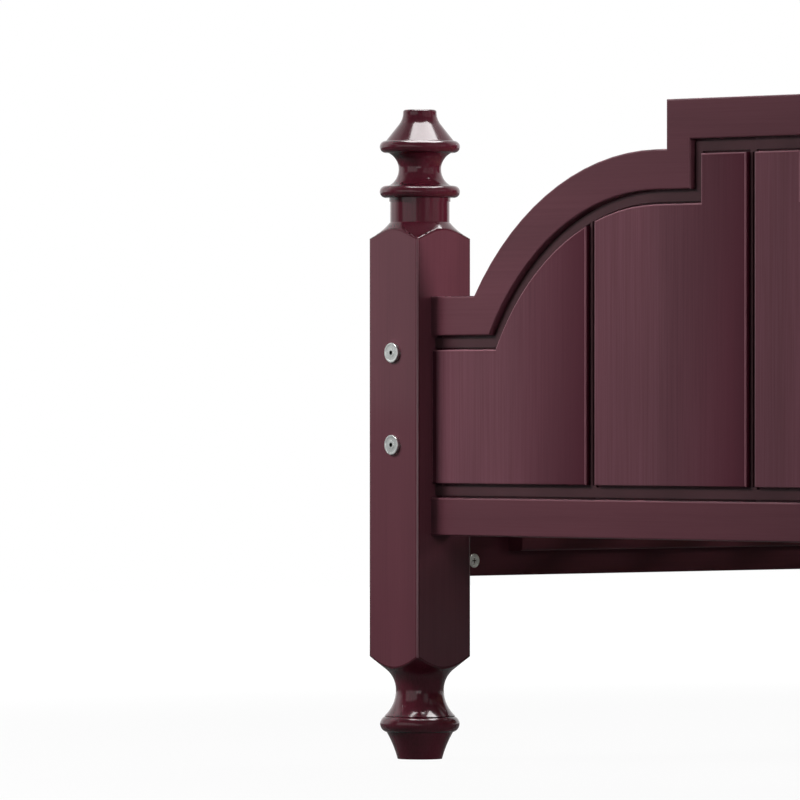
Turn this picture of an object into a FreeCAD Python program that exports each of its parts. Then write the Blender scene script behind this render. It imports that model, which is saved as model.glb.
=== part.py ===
"""Twin platform bed: turned posts, arched plank panels, side rails and a slatted deck, in millimetres.

The floor is at zero and +Z is up. The origin is the middle of the floor rectangle, the footboard is at -Y
and the headboard at +Y. Each end is modelled as a footboard and turned half round for the headboard.
"""
import FreeCAD, Part
import math
import os
from collections import namedtuple
from types import SimpleNamespace

import Sketcher

SIZES = {
    # Mattress that the bed is made for, and its room
    "mattress_width": 990,
    "mattress_length": 1905,
    "mattress_side_gap": 3.5,
    "mattress_end_gap": 12.5,
    # Posts: square blanks turned at both ends
    "post_width": 76,
    "post_arris_width": 2,
    "footboard_height": 678,
    "headboard_rise": 430,
    "neck_radius": 31,
    "neck_length": 21.5,
    "cone_length": 18,
    "cone_sag": 1.5,
    "cove_height": 63,
    "cove_shoulder_radius": 35.5,
    "cove_shoulder_height": 48.6,
    "flare_radius": 37,
    "waist_radius": 25,
    "waist_height": 27,
    # Finials
    "finial_height": 96,
    "finial_seat_radius": 32,
    "finial_seat_height": 4,
    "finial_ring_radius": 42,
    "finial_ring_height": 12.5,
    "finial_waist_radius": 22.2,
    "finial_cove_radius": 33,
    "finial_cove_height": 34.5,
    "finial_bell_radius": 35.5,
    "finial_bell_shoulder_radius": 22,
    "finial_bell_shoulder_height": 17,
    "finial_bell_sag": 1.2,
    "finial_tip_radius": 17.5,
    "finial_tip_rounding": 2.5,
    # Feet
    "foot_height": 45,
    "foot_floor_radius": 23.2,
    "foot_top_radius": 34.7,
    "foot_taper_sag": 1,
    "foot_ring_radius": 41.5,
    "foot_ring_height": 17,
    # Dowels that hold the finials and the feet
    "dowel_radius": 6,
    "dowel_depth": 22,
    # Panel rails: the arched top rail and the straight bottom rail
    "panel_setback": 19,
    "panel_rail_thickness": 30,
    "panel_rail_arris_width": 2,
    "top_rail_width": 41,
    "step_leg_width": 34.5,
    "step_half_width": 119,
    "step_height": 50,
    "arch_flat": 16,
    "shoulder_length": 64.7,
    "shoulder_drop": 195.5,
    "bottom_rail_width": 39.5,
    "tenon_length": 30,
    "tenon_thickness": 14,
    "tenon_shoulder": 5,
    "tenon_web": 3,
    "tenon_inset": 8,
    # Planks with a flat open joint at every edge
    "plank_pitch": 231,
    "plank_gap": 13,
    "plank_rail_gap": 14.5,
    "plank_setback": 1,
    "plank_face_thickness": 5,
    "plank_lip_thickness": 13,
    "plank_arris_width": 1.5,
    "lip_depth": 9.5,
    "lip_end_room": 0.5,
    "tongue_thickness": 5,
    "tongue_depth": 6,
    # Side rails
    "side_rail_thickness": 25,
    "side_rail_height": 250,
    "side_rail_setback": 21.5,
    "side_rail_lift": 190,
    "side_rail_arris_width": 2,
    # Bolts, barrel nuts, cam locks and their studs
    "bolt_radius": 4,
    "bolt_inset": 16,
    "bolt_spacing": 96,
    "bolt_reach": 42,
    "bolt_head_radius": 10.3,
    "bolt_head_height": 3,
    "bolt_head_rounding": 1,
    "bolt_socket_radius": 2.9,
    "bolt_socket_depth": 2,
    "barrel_radius": 7,
    "barrel_length": 16,
    "barrel_setback": 32,
    "barrel_slot_width": 1.8,
    "barrel_slot_depth": 1.5,
    "cam_radius": 7.5,
    "cam_depth": 13,
    "cam_inset": 16,
    "cam_setback": 32,
    "cam_socket_radius": 3,
    "cam_socket_depth": 3,
    "stud_radius": 3.5,
    "stud_post_depth": 14,
    # Cleats and slats
    "cleat_thickness": 22,
    "cleat_height": 48,
    "cleat_rise": 26,
    "cleat_end_gap": 80,
    "slat_width": 72,
    "slat_thickness": 18,
    "slat_end_room": 2,
    "slat_arris_width": 3,
    # Centre beam, hangers, legs and glides
    "beam_width": 60,
    "beam_depth": 24,
    "hanger_thickness": 2,
    "hanger_margin": 4,
    "hanger_seat_length": 40,
    "hanger_flange_width": 20,
    "hanger_screw_inset": 8,
    "leg_width": 44,
    "leg_spacing": 640,
    "leg_arris_width": 3,
    "glide_pad_radius": 16,
    "glide_pad_height": 8,
    "glide_rim_radius": 2,
    "glide_stem_radius": 4,
    "glide_stem_length": 46,
    "glide_travel": 12,
    "glide_spare": 2,
    "insert_radius": 7,
    "insert_length": 20,
    # Wood screws with flat heads let into their pieces
    "screw_radius": 2,
    "screw_head_radius": 4.2,
    "screw_head_height": 2,
    "screw_bite": 15,
    # Clearances and the overrun of cuts
    "glue_room": 0.15,
    "bore_room": 0.3,
    "overrun": 2,
}
SLAT_COUNT = 13
CLEAT_SCREW_COUNT = 7
# How far a turned ring stands out, as a share of its height
FINIAL_BULGE_SHARE = 0.48
FOOT_BULGE_SHARE = 0.38


class Size:
    """A length as a number, with the expression that binds it to the sheet."""

    def __init__(self, value, text):
        self.value = value
        self.text = text

    def __add__(self, other):
        return Size(self.value + other.value, f"({self.text} + {other.text})")

    def __sub__(self, other):
        return Size(self.value - other.value, f"({self.text} - {other.text})")

    def __mul__(self, factor):
        return Size(self.value * factor, f"({self.text} * {factor!r})")

    def __truediv__(self, factor):
        return Size(self.value / factor, f"({self.text} / {factor!r})")

    def __neg__(self):
        return self * -1


def leg_of(hypotenuse, side):
    """The other short side of a right triangle."""
    return Size(
        math.sqrt(hypotenuse.value ** 2 - side.value ** 2),
        f"sqrt({hypotenuse.text} ^ 2 - {side.text} ^ 2)",
    )


def arc_radius(rise, run, sag):
    """Radius of an arc whose chord spans rise and run and whose middle stands off by sag."""
    half_squared = (rise.value ** 2 + run.value ** 2) / 4
    half_text = f"({rise.text} ^ 2 + {run.text} ^ 2) / 4"
    return Size(
        (half_squared + sag.value ** 2) / (2 * sag.value),
        f"(({half_text} + {sag.text} ^ 2) / (2 * {sag.text}))",
    )


def tangent_arc(away, along):
    """Radius of an arc that starts along its tangent and leaves it by away over along."""
    return Size(
        (away.value ** 2 + along.value ** 2) / (2 * away.value),
        f"(({away.text} ^ 2 + {along.text} ^ 2) / (2 * {away.text}))",
    )


ZERO = Size(0.0, "0")
Corner = namedtuple("Corner", "x y radius turn", defaults=(None, 0))
Circle = namedtuple("Circle", "x y radius")
Spot = namedtuple("Spot", "x y z rotation")
End = namedtuple("End", "name sign rise")

DOC = FreeCAD.newDocument("PlatformBed")
NODES = []


def make_sheet():
    """Writes the driving dimensions to a sheet and returns them as sizes."""
    sheet = DOC.addObject("Spreadsheet::Sheet", "Sizes")
    for row, (name, number) in enumerate(SIZES.items(), 1):
        sheet.set(f"A{row}", name)
        sheet.set(f"B{row}", str(number))
        sheet.setAlias(f"B{row}", name)
    DOC.recompute()
    return SimpleNamespace(**{name: Size(float(sheet.get(name)), f"Sizes.{name}") for name in SIZES})


S = make_sheet()


# Places worked out from the sizes
RAIL_INNER = S.side_rail_setback + S.side_rail_thickness - S.post_width / 2
DECK_HALF_WIDTH = S.mattress_width / 2 + S.mattress_side_gap
POST_X = DECK_HALF_WIDTH + RAIL_INNER
PANEL_FRONT = S.panel_setback - S.post_width / 2
PANEL_BACK = PANEL_FRONT + S.panel_rail_thickness
PANEL_HALF_WIDTH = POST_X - S.post_width / 2
ARCH_CENTRE = S.step_half_width + S.arch_flat
ARCH_RADIUS = tangent_arc(S.shoulder_drop - S.step_height, PANEL_HALF_WIDTH - S.shoulder_length - ARCH_CENTRE)
POST_Y = S.mattress_length / 2 + S.mattress_end_gap + PANEL_BACK
RAIL_HALF_LENGTH = POST_Y - S.post_width / 2

RAIL_TOP = S.side_rail_lift + S.side_rail_height
BOLT_HEIGHTS = (RAIL_TOP - S.bolt_inset - S.bolt_spacing, RAIL_TOP - S.bolt_inset)
CAM_HEIGHT = S.side_rail_lift + S.cam_inset
CLEAT_BOTTOM = S.side_rail_lift + S.cleat_rise
CLEAT_TOP = CLEAT_BOTTOM + S.cleat_height
CLEAT_HALF_LENGTH = RAIL_HALF_LENGTH - S.cleat_end_gap
DECK_TOP = CLEAT_TOP + S.slat_thickness
BEAM_BOTTOM = CLEAT_TOP - S.beam_depth
BOTTOM_RAIL_BOTTOM = BEAM_BOTTOM - S.hanger_thickness - S.hanger_margin
BOTTOM_RAIL_TOP = BOTTOM_RAIL_BOTTOM + S.bottom_rail_width
GROOVE_DEPTH = S.lip_depth + S.lip_end_room
LIP_FRONT = PANEL_FRONT + S.plank_setback + S.plank_face_thickness
LIP_BACK = LIP_FRONT + S.plank_lip_thickness
TENON_FRONT = PANEL_FRONT + S.tenon_inset
TENON_BACK = TENON_FRONT + S.tenon_thickness
LEG_BOTTOM = S.glide_pad_height + S.glide_travel + S.glide_spare
LEG_SPOTS = (S.leg_spacing / -2, S.leg_spacing / 2)
CAM_AXIS = RAIL_INNER - S.cam_depth / 2
SCREW_BORE = S.screw_radius + S.glue_room
HEAD_BORE = S.screw_head_radius + S.bore_room
HEAD_SINK = S.screw_head_height + S.glue_room

FOOTBOARD = End("footboard", -1, ZERO)
HEADBOARD = End("headboard", 1, S.headboard_rise)
ENDS = (FOOTBOARD, HEADBOARD)
SIDES = ("left", "right")


def side_sign(side):
    """The side of the bed's middle along X."""
    return -1 if side == "left" else 1


SIGNS = [side_sign(side) for side in SIDES]


def spread(half_length, count):
    """Places of count pieces, evenly spread from one end to the other."""
    return [half_length * (2 * index / (count - 1) - 1) for index in range(count)]


SLAT_PLACES = spread(CLEAT_HALF_LENGTH - S.slat_width / 2, SLAT_COUNT)
# Cleat screws sit midway between slats, so that the two rows of screws don't meet.
CLEAT_SCREW_PLACES = spread(
    CLEAT_HALF_LENGTH - S.slat_width / 2 - (SLAT_PLACES[1] - SLAT_PLACES[0]) / 2, CLEAT_SCREW_COUNT)


# Drawing in sketches

PLANES = {"X": "YZ_Plane", "Y": "XZ_Plane", "Z": "XY_Plane"}


def plane_sign(axis):
    """Whether an origin plane faces along its axis, 1, or against it, -1."""
    return -1 if axis == "Y" else 1


def bind_datum(sketch, constraint, size):
    """Adds a constraint and binds its number to the sheet."""
    index = sketch.addConstraint(constraint)
    sketch.setExpression(f"Constraints[{index}]", size.text)


def fix_point(sketch, edge, place, x, y):
    """Fixes one point of an edge at bound distances from the sketch's origin."""
    for kind, size in (("DistanceX", x), ("DistanceY", y)):
        bind_datum(sketch, Sketcher.Constraint(kind, edge, place, size.value), size)


def arc_between(start, finish, radius, turn):
    """An arc under a half circle, with its centre on the left of its chord where turn is 1."""
    chord = finish - start
    reach = math.sqrt(max(radius ** 2 - (chord.Length / 2) ** 2, 0.0))
    left = FreeCAD.Vector(-chord.y, chord.x, 0).normalize()
    centre = (start + finish) / 2 + left * (reach * turn)
    first, last = (start, finish) if turn > 0 else (finish, start)
    angles = [math.atan2(point.y - centre.y, point.x - centre.x) for point in (first, last)]
    return Part.ArcOfCircle(Part.Circle(centre, FreeCAD.Vector(0, 0, 1), radius), *angles)


def draw_circle(sketch, circle):
    """Adds a bound circle."""
    centre = FreeCAD.Vector(circle.x.value, circle.y.value, 0)
    edge = sketch.addGeometry(Part.Circle(centre, FreeCAD.Vector(0, 0, 1), circle.radius.value))
    fix_point(sketch, edge, 3, circle.x, circle.y)
    bind_datum(sketch, Sketcher.Constraint("Radius", edge, circle.radius.value), circle.radius)


def draw_outline(sketch, corners):
    """Adds a closed outline of lines and arcs, every corner and radius bound."""
    points = [FreeCAD.Vector(corner.x.value, corner.y.value, 0) for corner in corners]
    ends = []
    for index, corner in enumerate(corners):
        start, finish = points[index], points[(index + 1) % len(points)]
        if corner.radius is None:
            edge = sketch.addGeometry(Part.LineSegment(start, finish))
        else:
            edge = sketch.addGeometry(arc_between(start, finish, corner.radius.value, corner.turn))
        ends.append((edge, 1, 2) if corner.turn >= 0 else (edge, 2, 1))
    for index, corner in enumerate(corners):
        edge, first, last = ends[index]
        after = ends[(index + 1) % len(ends)]
        sketch.addConstraint(Sketcher.Constraint("Coincident", edge, last, after[0], after[1]))
        fix_point(sketch, edge, first, corner.x, corner.y)
        if corner.radius is not None:
            bind_datum(sketch, Sketcher.Constraint("Radius", edge, corner.radius.value), corner.radius)


def rectangle(x_low, x_high, y_low, y_high):
    """The four corners of a rectangle."""
    return [Corner(x_low, y_low), Corner(x_high, y_low), Corner(x_high, y_high), Corner(x_low, y_high)]


# Bodies and their features

def new_body(label, x=ZERO, y=ZERO, z=ZERO, turned=False, node=True):
    """A body with a bound placement, turned half round about Z for the headboard."""
    body = DOC.addObject("PartDesign::Body", label)
    body.Label = label
    body.Placement = FreeCAD.Placement(
        FreeCAD.Vector(x.value, y.value, z.value), FreeCAD.Rotation(FreeCAD.Vector(0, 0, 1), 180 * turned))
    for axis, size in zip("xyz", (x, y, z)):
        body.setExpression(f"Placement.Base.{axis}", size.text)
    if node:
        NODES.append(body)
    return body


def sketch_on(body, axis, start, loops):
    """A sketch square to an axis, at a place along it."""
    plane = next(item for item in body.Origin.OriginFeatures if item.Role == PLANES[axis])
    sketch = body.newObject("Sketcher::SketchObject", "Sketch")
    sketch.AttachmentSupport = [(plane, "")]
    sketch.MapMode = "FlatFace"
    sketch.setExpression("AttachmentOffset.Base.z", (start * plane_sign(axis)).text)
    for loop in loops:
        if isinstance(loop, Circle):
            draw_circle(sketch, loop)
        else:
            draw_outline(sketch, loop)
    return sketch


def extrude(kind, body, axis, start, length, toward, loops):
    """A Pad or Pocket of loops, from start along an axis in the direction toward, 1 or -1."""
    sketch = sketch_on(body, axis, start, loops)
    feature = body.newObject(f"PartDesign::{kind}", kind)
    feature.Profile = sketch
    feature.setExpression("Length", length.text)
    along_normal = toward == plane_sign(axis)
    feature.Reversed = along_normal if kind == "Pocket" else not along_normal
    return feature


def pad(body, axis, start, length, loops, toward=1):
    """Adds material."""
    return extrude("Pad", body, axis, start, length, toward, loops)


def pocket(body, axis, start, length, loops, toward=1):
    """Takes material away."""
    return extrude("Pocket", body, axis, start, length, toward, loops)


def turn(kind, body, corners):
    """A Revolution or Groove of an outline in radius and height, about the body's Z axis."""
    sketch = sketch_on(body, "Y", ZERO, [corners])
    feature = body.newObject(f"PartDesign::{kind}", kind)
    feature.Profile = sketch
    feature.ReferenceAxis = (sketch, ["V_Axis"])
    feature.Angle = 360
    return feature


EASING_SIZES = {"Fillet": "Radius", "Chamfer": "Size"}
TOUCHING = 1e-4


def ease(body, feature, size, wanted, kind="Fillet"):
    """Rounds or chamfers the edges of a feature whose middle passes the test wanted."""
    DOC.recompute()
    names = []
    for number, edge in enumerate(feature.Shape.Edges, 1):
        if wanted(edge.valueAt((edge.FirstParameter + edge.LastParameter) / 2)):
            names.append(f"Edge{number}")
    easing = body.newObject(f"PartDesign::{kind}", kind)
    easing.Base = (feature, names)
    easing.setExpression(EASING_SIZES[kind], size.text)


def near(number, size):
    """Whether a coordinate lies at a size."""
    return math.isclose(number, size.value, abs_tol=TOUCHING)


def group(label, master, spots):
    """One node of separate copies of a master body."""
    DOC.recompute()
    copies = []
    for spot in spots:
        copy = master.Shape.copy()
        base = FreeCAD.Vector(spot.x.value, spot.y.value, spot.z.value)
        copy.Placement = FreeCAD.Placement(base, spot.rotation)
        copies.append(copy)
    node = DOC.addObject("Part::Feature", label)
    node.Label = label
    node.Shape = Part.makeCompound(copies)
    NODES.append(node)


def aim(x, y, z):
    """The rotation that points a master's Z axis along a direction."""
    return FreeCAD.Rotation(FreeCAD.Vector(0, 0, 1), FreeCAD.Vector(x, y, z))


# Turned posts, finials and feet

def half_diagonal():
    """From a post's axis to its corner."""
    return S.post_width / math.sqrt(2)


def make_post(end, side_name, side):
    """A square post: turned neck and cove, mortises for the panel, bores for bolts, stud and dowels."""
    turned = end.sign > 0
    inner = side if turned else -side
    body = new_body(f"{end.name}_{side_name}_post", POST_X * side, POST_Y * end.sign, turned=turned)
    half = S.post_width / 2
    bottom = S.foot_height
    top = S.footboard_height + end.rise - S.finial_height
    blank = pad(body, "Z", bottom, top - bottom, [rectangle(-half, half, -half, half)])
    ease(body, blank, S.post_arris_width, lambda p: near(abs(p.x), half) and near(abs(p.y), half))

    corner = half_diagonal()
    cone_top = top - S.neck_length
    hollow = arc_radius(S.cone_length, corner - S.neck_radius, S.cone_sag)
    turn("Groove", body, [
        Corner(S.neck_radius, top + S.overrun),
        Corner(S.neck_radius, cone_top, hollow, 1),
        Corner(corner, cone_top - S.cone_length),
        Corner(corner, top + S.overrun),
    ])
    waist = bottom + S.waist_height
    lower = tangent_arc(S.flare_radius - S.waist_radius, S.waist_height)
    upper = tangent_arc(S.cove_shoulder_radius - S.waist_radius, S.cove_shoulder_height - S.waist_height)
    turn("Groove", body, [
        Corner(S.flare_radius, bottom - S.overrun),
        Corner(S.flare_radius, bottom, lower, -1),
        Corner(S.waist_radius, waist, upper, -1),
        Corner(S.cove_shoulder_radius, bottom + S.cove_shoulder_height),
        Corner(corner, bottom + S.cove_height),
        Corner(corner, bottom - S.overrun),
    ])
    cut_mortises(body, end, inner)
    bolt_bore = S.bolt_radius + S.bore_room
    pocket(body, "Y", -half - S.overrun, S.post_width + S.overrun * 2,
           [Circle(ZERO, height, bolt_bore) for height in BOLT_HEIGHTS])
    pocket(body, "Y", half, S.stud_post_depth + S.glue_room,
           [Circle(CAM_AXIS * inner, CAM_HEIGHT, S.stud_radius + S.glue_room)], toward=-1)
    dowel = Circle(ZERO, ZERO, S.dowel_radius + S.glue_room)
    pocket(body, "Z", bottom, S.dowel_depth + S.glue_room, [dowel])
    pocket(body, "Z", top, S.dowel_depth + S.glue_room, [dowel], toward=-1)


def tenon_heights(end):
    """Heights of the bottom rail's tenon and of the top rail's tenon."""
    shoulder = S.footboard_height + end.rise - S.shoulder_drop
    below = (BOTTOM_RAIL_BOTTOM + S.tenon_shoulder, BOTTOM_RAIL_TOP - GROOVE_DEPTH - S.tenon_web)
    above = (shoulder - S.top_rail_width + GROOVE_DEPTH + S.tenon_web, shoulder - S.tenon_shoulder)
    return below, above


def cut_mortises(body, end, inner):
    """Cuts a post's two mortises and the groove for the planks between them."""
    face = S.post_width / 2 * inner
    room = S.glue_room
    for low, high in tenon_heights(end):
        hole = rectangle(TENON_FRONT - room, TENON_BACK + room, low - room, high + room)
        pocket(body, "X", face, S.tenon_length + room, [hole], toward=-inner)
    shoulder = S.footboard_height + end.rise - S.shoulder_drop
    groove = rectangle(LIP_FRONT - room, LIP_BACK + room,
                       BOTTOM_RAIL_TOP - GROOVE_DEPTH, shoulder - S.top_rail_width + GROOVE_DEPTH)
    pocket(body, "X", face, GROOVE_DEPTH, [groove], toward=-inner)


def ring(low, height, reach, bulge_share):
    """Two corners and the arc of a turned ring that reaches a radius."""
    bulge = height * bulge_share
    root = reach - bulge
    return [Corner(root, low, arc_radius(height, ZERO, bulge), 1), Corner(root, low + height)]


def make_finial(end, side_name, side):
    """A finial: seat, ring, waist, ring and bell, dowelled to the post's neck."""
    body = new_body(f"{end.name}_{side_name}_finial", POST_X * side, POST_Y * end.sign,
                    S.footboard_height + end.rise - S.finial_height)
    cove_low = S.finial_seat_height + S.finial_ring_height
    cove_high = cove_low + S.finial_cove_height
    bell_low = cove_high + S.finial_ring_height
    half_cove = S.finial_cove_height / 2
    cove = tangent_arc(S.finial_cove_radius - S.finial_waist_radius, half_cove)
    bell_shoulder = bell_low + S.finial_bell_shoulder_height
    tip_low = S.finial_height - S.finial_tip_rounding
    bell = arc_radius(tip_low - bell_shoulder, S.finial_bell_shoulder_radius - S.finial_tip_radius,
                      S.finial_bell_sag)
    turn("Revolution", body, [
        Corner(ZERO, ZERO),
        Corner(S.finial_seat_radius, ZERO),
        Corner(S.finial_seat_radius, S.finial_seat_height),
        *ring(S.finial_seat_height, S.finial_ring_height, S.finial_ring_radius, FINIAL_BULGE_SHARE),
        Corner(S.finial_cove_radius, cove_low, cove, -1),
        Corner(S.finial_waist_radius, cove_low + half_cove, cove, -1),
        Corner(S.finial_cove_radius, cove_high),
        *ring(cove_high, S.finial_ring_height, S.finial_ring_radius, FINIAL_BULGE_SHARE),
        Corner(S.finial_bell_radius, bell_low),
        Corner(S.finial_bell_shoulder_radius, bell_shoulder, bell, -1),
        Corner(S.finial_tip_radius, tip_low, S.finial_tip_rounding, 1),
        Corner(S.finial_tip_radius - S.finial_tip_rounding, S.finial_height),
        Corner(ZERO, S.finial_height),
    ])
    pocket(body, "Z", ZERO, S.dowel_depth + S.glue_room, [Circle(ZERO, ZERO, S.dowel_radius + S.glue_room)])


def make_foot(end, side_name, side):
    """A tapered foot with one ring, dowelled to the post's flare."""
    body = new_body(f"{end.name}_{side_name}_foot", POST_X * side, POST_Y * end.sign)
    ring_low = S.foot_height - S.foot_ring_height
    taper = arc_radius(ring_low, S.foot_top_radius - S.foot_floor_radius, S.foot_taper_sag)
    turn("Revolution", body, [
        Corner(ZERO, ZERO),
        Corner(S.foot_floor_radius, ZERO, taper, -1),
        Corner(S.foot_top_radius, ring_low),
        *ring(ring_low, S.foot_ring_height, S.foot_ring_radius, FOOT_BULGE_SHARE),
        Corner(ZERO, S.foot_height),
    ])
    pocket(body, "Z", S.foot_height, S.dowel_depth + S.glue_room,
           [Circle(ZERO, ZERO, S.dowel_radius + S.glue_room)], toward=-1)


# Panels: arched top rail, bottom rail and planks

def arch_places(end, drop, leg):
    """Places of the stepped arch, drop below its outer edge and leg inside its step."""
    top = S.footboard_height + end.rise
    radius = ARCH_RADIUS - drop
    centre_height = top - S.step_height - ARCH_RADIUS
    shoulder = top - S.shoulder_drop - drop
    return SimpleNamespace(
        top=top - drop, flat=top - S.step_height - drop, shoulder=shoulder, radius=radius, centre=ARCH_CENTRE,
        centre_height=centre_height, step=S.step_half_width - leg,
        start=ARCH_CENTRE + leg_of(radius, shoulder - centre_height))


def arch_curve(places, half_width):
    """Corners of the whole arch, from the left post to the right one."""
    left = [
        Corner(-half_width, places.shoulder),
        Corner(-places.start, places.shoulder, places.radius, -1),
        Corner(-places.centre, places.flat),
        Corner(-places.step, places.flat),
        Corner(-places.step, places.top),
    ]
    right = [
        Corner(places.step, places.top),
        Corner(places.step, places.flat),
        Corner(places.centre, places.flat, places.radius, -1),
        Corner(places.start, places.shoulder),
        Corner(half_width, places.shoulder),
    ]
    return left + right


def reverse(corners):
    """The same outline walked backwards."""
    radii = [(corner.radius, -corner.turn) for corner in corners[:-1]][::-1] + [(None, 0)]
    return [Corner(corner.x, corner.y, radius, way) for corner, (radius, way) in zip(corners[::-1], radii)]


def add_tenons(body, low, high):
    """Adds a tenon at each end of a panel rail."""
    for side in (1, -1):
        pad(body, "X", PANEL_HALF_WIDTH * side, S.tenon_length,
            [rectangle(TENON_FRONT, TENON_BACK, low, high)], toward=side)


def make_top_rail(end):
    """The stepped and arched top rail, grooved for the planks and tenoned into the posts."""
    body = new_body(f"{end.name}_top_rail", y=POST_Y * end.sign, turned=end.sign > 0)
    outer = arch_curve(arch_places(end, ZERO, ZERO), PANEL_HALF_WIDTH)
    inner = arch_curve(arch_places(end, S.top_rail_width, S.step_leg_width), PANEL_HALF_WIDTH)
    board = pad(body, "Y", PANEL_FRONT, S.panel_rail_thickness, [outer + reverse(inner)])
    ease(body, board, S.panel_rail_arris_width,
         lambda p: near(p.y, PANEL_FRONT) and not near(abs(p.x), PANEL_HALF_WIDTH), kind="Chamfer")
    groove_places = arch_places(end, S.top_rail_width - GROOVE_DEPTH, S.step_leg_width - GROOVE_DEPTH)
    groove = arch_curve(groove_places, PANEL_HALF_WIDTH + S.overrun)
    inner_places = arch_places(end, S.top_rail_width, S.step_leg_width)
    below = inner_places.shoulder - S.overrun
    groove += [Corner(groove[-1].x, below), Corner(groove[0].x, below)]
    pocket(body, "Y", LIP_FRONT - S.glue_room, S.plank_lip_thickness + S.glue_room * 2, [groove])
    add_tenons(body, *tenon_heights(end)[1])


def make_bottom_rail(end):
    """The straight bottom rail, grooved, tenoned and bored for the beam hanger's screws."""
    body = new_body(f"{end.name}_bottom_rail", y=POST_Y * end.sign, turned=end.sign > 0)
    outline = rectangle(-PANEL_HALF_WIDTH, PANEL_HALF_WIDTH, BOTTOM_RAIL_BOTTOM, BOTTOM_RAIL_TOP)
    board = pad(body, "Y", PANEL_FRONT, S.panel_rail_thickness, [outline])
    ease(body, board, S.panel_rail_arris_width,
         lambda p: near(p.y, PANEL_FRONT) and not near(abs(p.x), PANEL_HALF_WIDTH))
    groove = rectangle(-PANEL_HALF_WIDTH - S.overrun, PANEL_HALF_WIDTH + S.overrun,
                       LIP_FRONT - S.glue_room, LIP_BACK + S.glue_room)
    pocket(body, "Z", BOTTOM_RAIL_TOP, GROOVE_DEPTH, [groove], toward=-1)
    add_tenons(body, *tenon_heights(end)[0])
    pocket(body, "Y", PANEL_BACK, S.screw_bite + S.glue_room,
           [Circle(x, z, SCREW_BORE) for x, z in hanger_screws()], toward=-1)


PLANK_JOINTS = (-S.plank_pitch, ZERO, S.plank_pitch)


def arch_height(places, x):
    """Height of the arch at a place along its curved stretch, left or right of the middle."""
    run = -x - places.centre if x.value < 0 else x - places.centre
    return places.centre_height + leg_of(places.radius, run)


def plank_outline(index, places, left, right, bottom):
    """Outline of one layer of a plank: upright edges, a level bottom and the arch's stretch as its top."""
    if index == 0:
        top = [
            Corner(left, places.shoulder),
            Corner(-places.start, places.shoulder, places.radius, -1),
            Corner(right, arch_height(places, right)),
        ]
    elif index == 1:
        top = [
            Corner(left, arch_height(places, left), places.radius, -1),
            Corner(-places.centre, places.flat),
            Corner(-places.step, places.flat),
            Corner(-places.step, places.top),
            Corner(right, places.top),
        ]
    elif index == 2:
        top = [
            Corner(left, places.top),
            Corner(places.step, places.top),
            Corner(places.step, places.flat),
            Corner(places.centre, places.flat, places.radius, -1),
            Corner(right, arch_height(places, right)),
        ]
    else:
        top = [
            Corner(left, arch_height(places, left), places.radius, -1),
            Corner(places.start, places.shoulder),
            Corner(right, places.shoulder),
        ]
    return [Corner(left, bottom), *top, Corner(right, bottom)]


def make_plank(end, index):
    """A plank: a back layer let into its neighbours and a raised face with open joints round it."""
    last = len(PLANK_JOINTS)
    turned = end.sign > 0
    number = last + 1 - index if turned else index + 1
    body = new_body(f"{end.name}_plank_{number}", y=POST_Y * end.sign, turned=turned)
    half_gap = S.plank_gap / 2
    face_left = S.glue_room - PANEL_HALF_WIDTH
    lip_left = -PANEL_HALF_WIDTH - S.lip_depth
    if index > 0:
        face_left = lip_left = PLANK_JOINTS[index - 1] + half_gap
    face_right = PANEL_HALF_WIDTH - S.glue_room
    lip_right = PANEL_HALF_WIDTH + S.lip_depth
    if index < last:
        face_right = PLANK_JOINTS[index] - half_gap
        lip_right = PLANK_JOINTS[index] + half_gap - S.glue_room

    lip_places = arch_places(end, S.top_rail_width - S.lip_depth, S.step_leg_width - S.lip_depth)
    lip = plank_outline(index, lip_places, lip_left, lip_right, BOTTOM_RAIL_TOP - S.lip_depth)
    pad(body, "Y", LIP_FRONT, S.plank_lip_thickness, [lip])
    face_places = arch_places(end, S.top_rail_width + S.plank_rail_gap, S.step_leg_width + S.plank_rail_gap)
    face_bottom = BOTTOM_RAIL_TOP + S.plank_rail_gap
    face = plank_outline(index, face_places, face_left, face_right, face_bottom)
    raised = pad(body, "Y", LIP_FRONT, S.plank_face_thickness, [face], toward=-1)
    front = LIP_FRONT - S.plank_face_thickness
    ease(body, raised, S.plank_arris_width, lambda p: near(p.y, front), kind="Chamfer")

    tongue_front = LIP_FRONT + (S.plank_lip_thickness - S.tongue_thickness) / 2
    tongue_back = tongue_front + S.tongue_thickness
    room = S.glue_room
    if index < last:
        tongue = rectangle(tongue_front, tongue_back, face_bottom, tongue_top(face_places, index))
        pad(body, "X", lip_right, S.tongue_depth, [tongue])
    if index > 0:
        slot = rectangle(tongue_front - room, tongue_back + room,
                         face_bottom - room, tongue_top(face_places, index - 1) + room)
        pocket(body, "X", lip_left, S.tongue_depth + room, [slot])


def tongue_top(places, joint):
    """Height of the top of the tongue at a joint between planks."""
    lowest = PLANK_JOINTS[joint]
    if lowest is ZERO:
        return places.top
    outer = -S.plank_pitch - S.plank_gap
    return arch_height(places, outer)


# Side rails, cleats and slats

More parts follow.
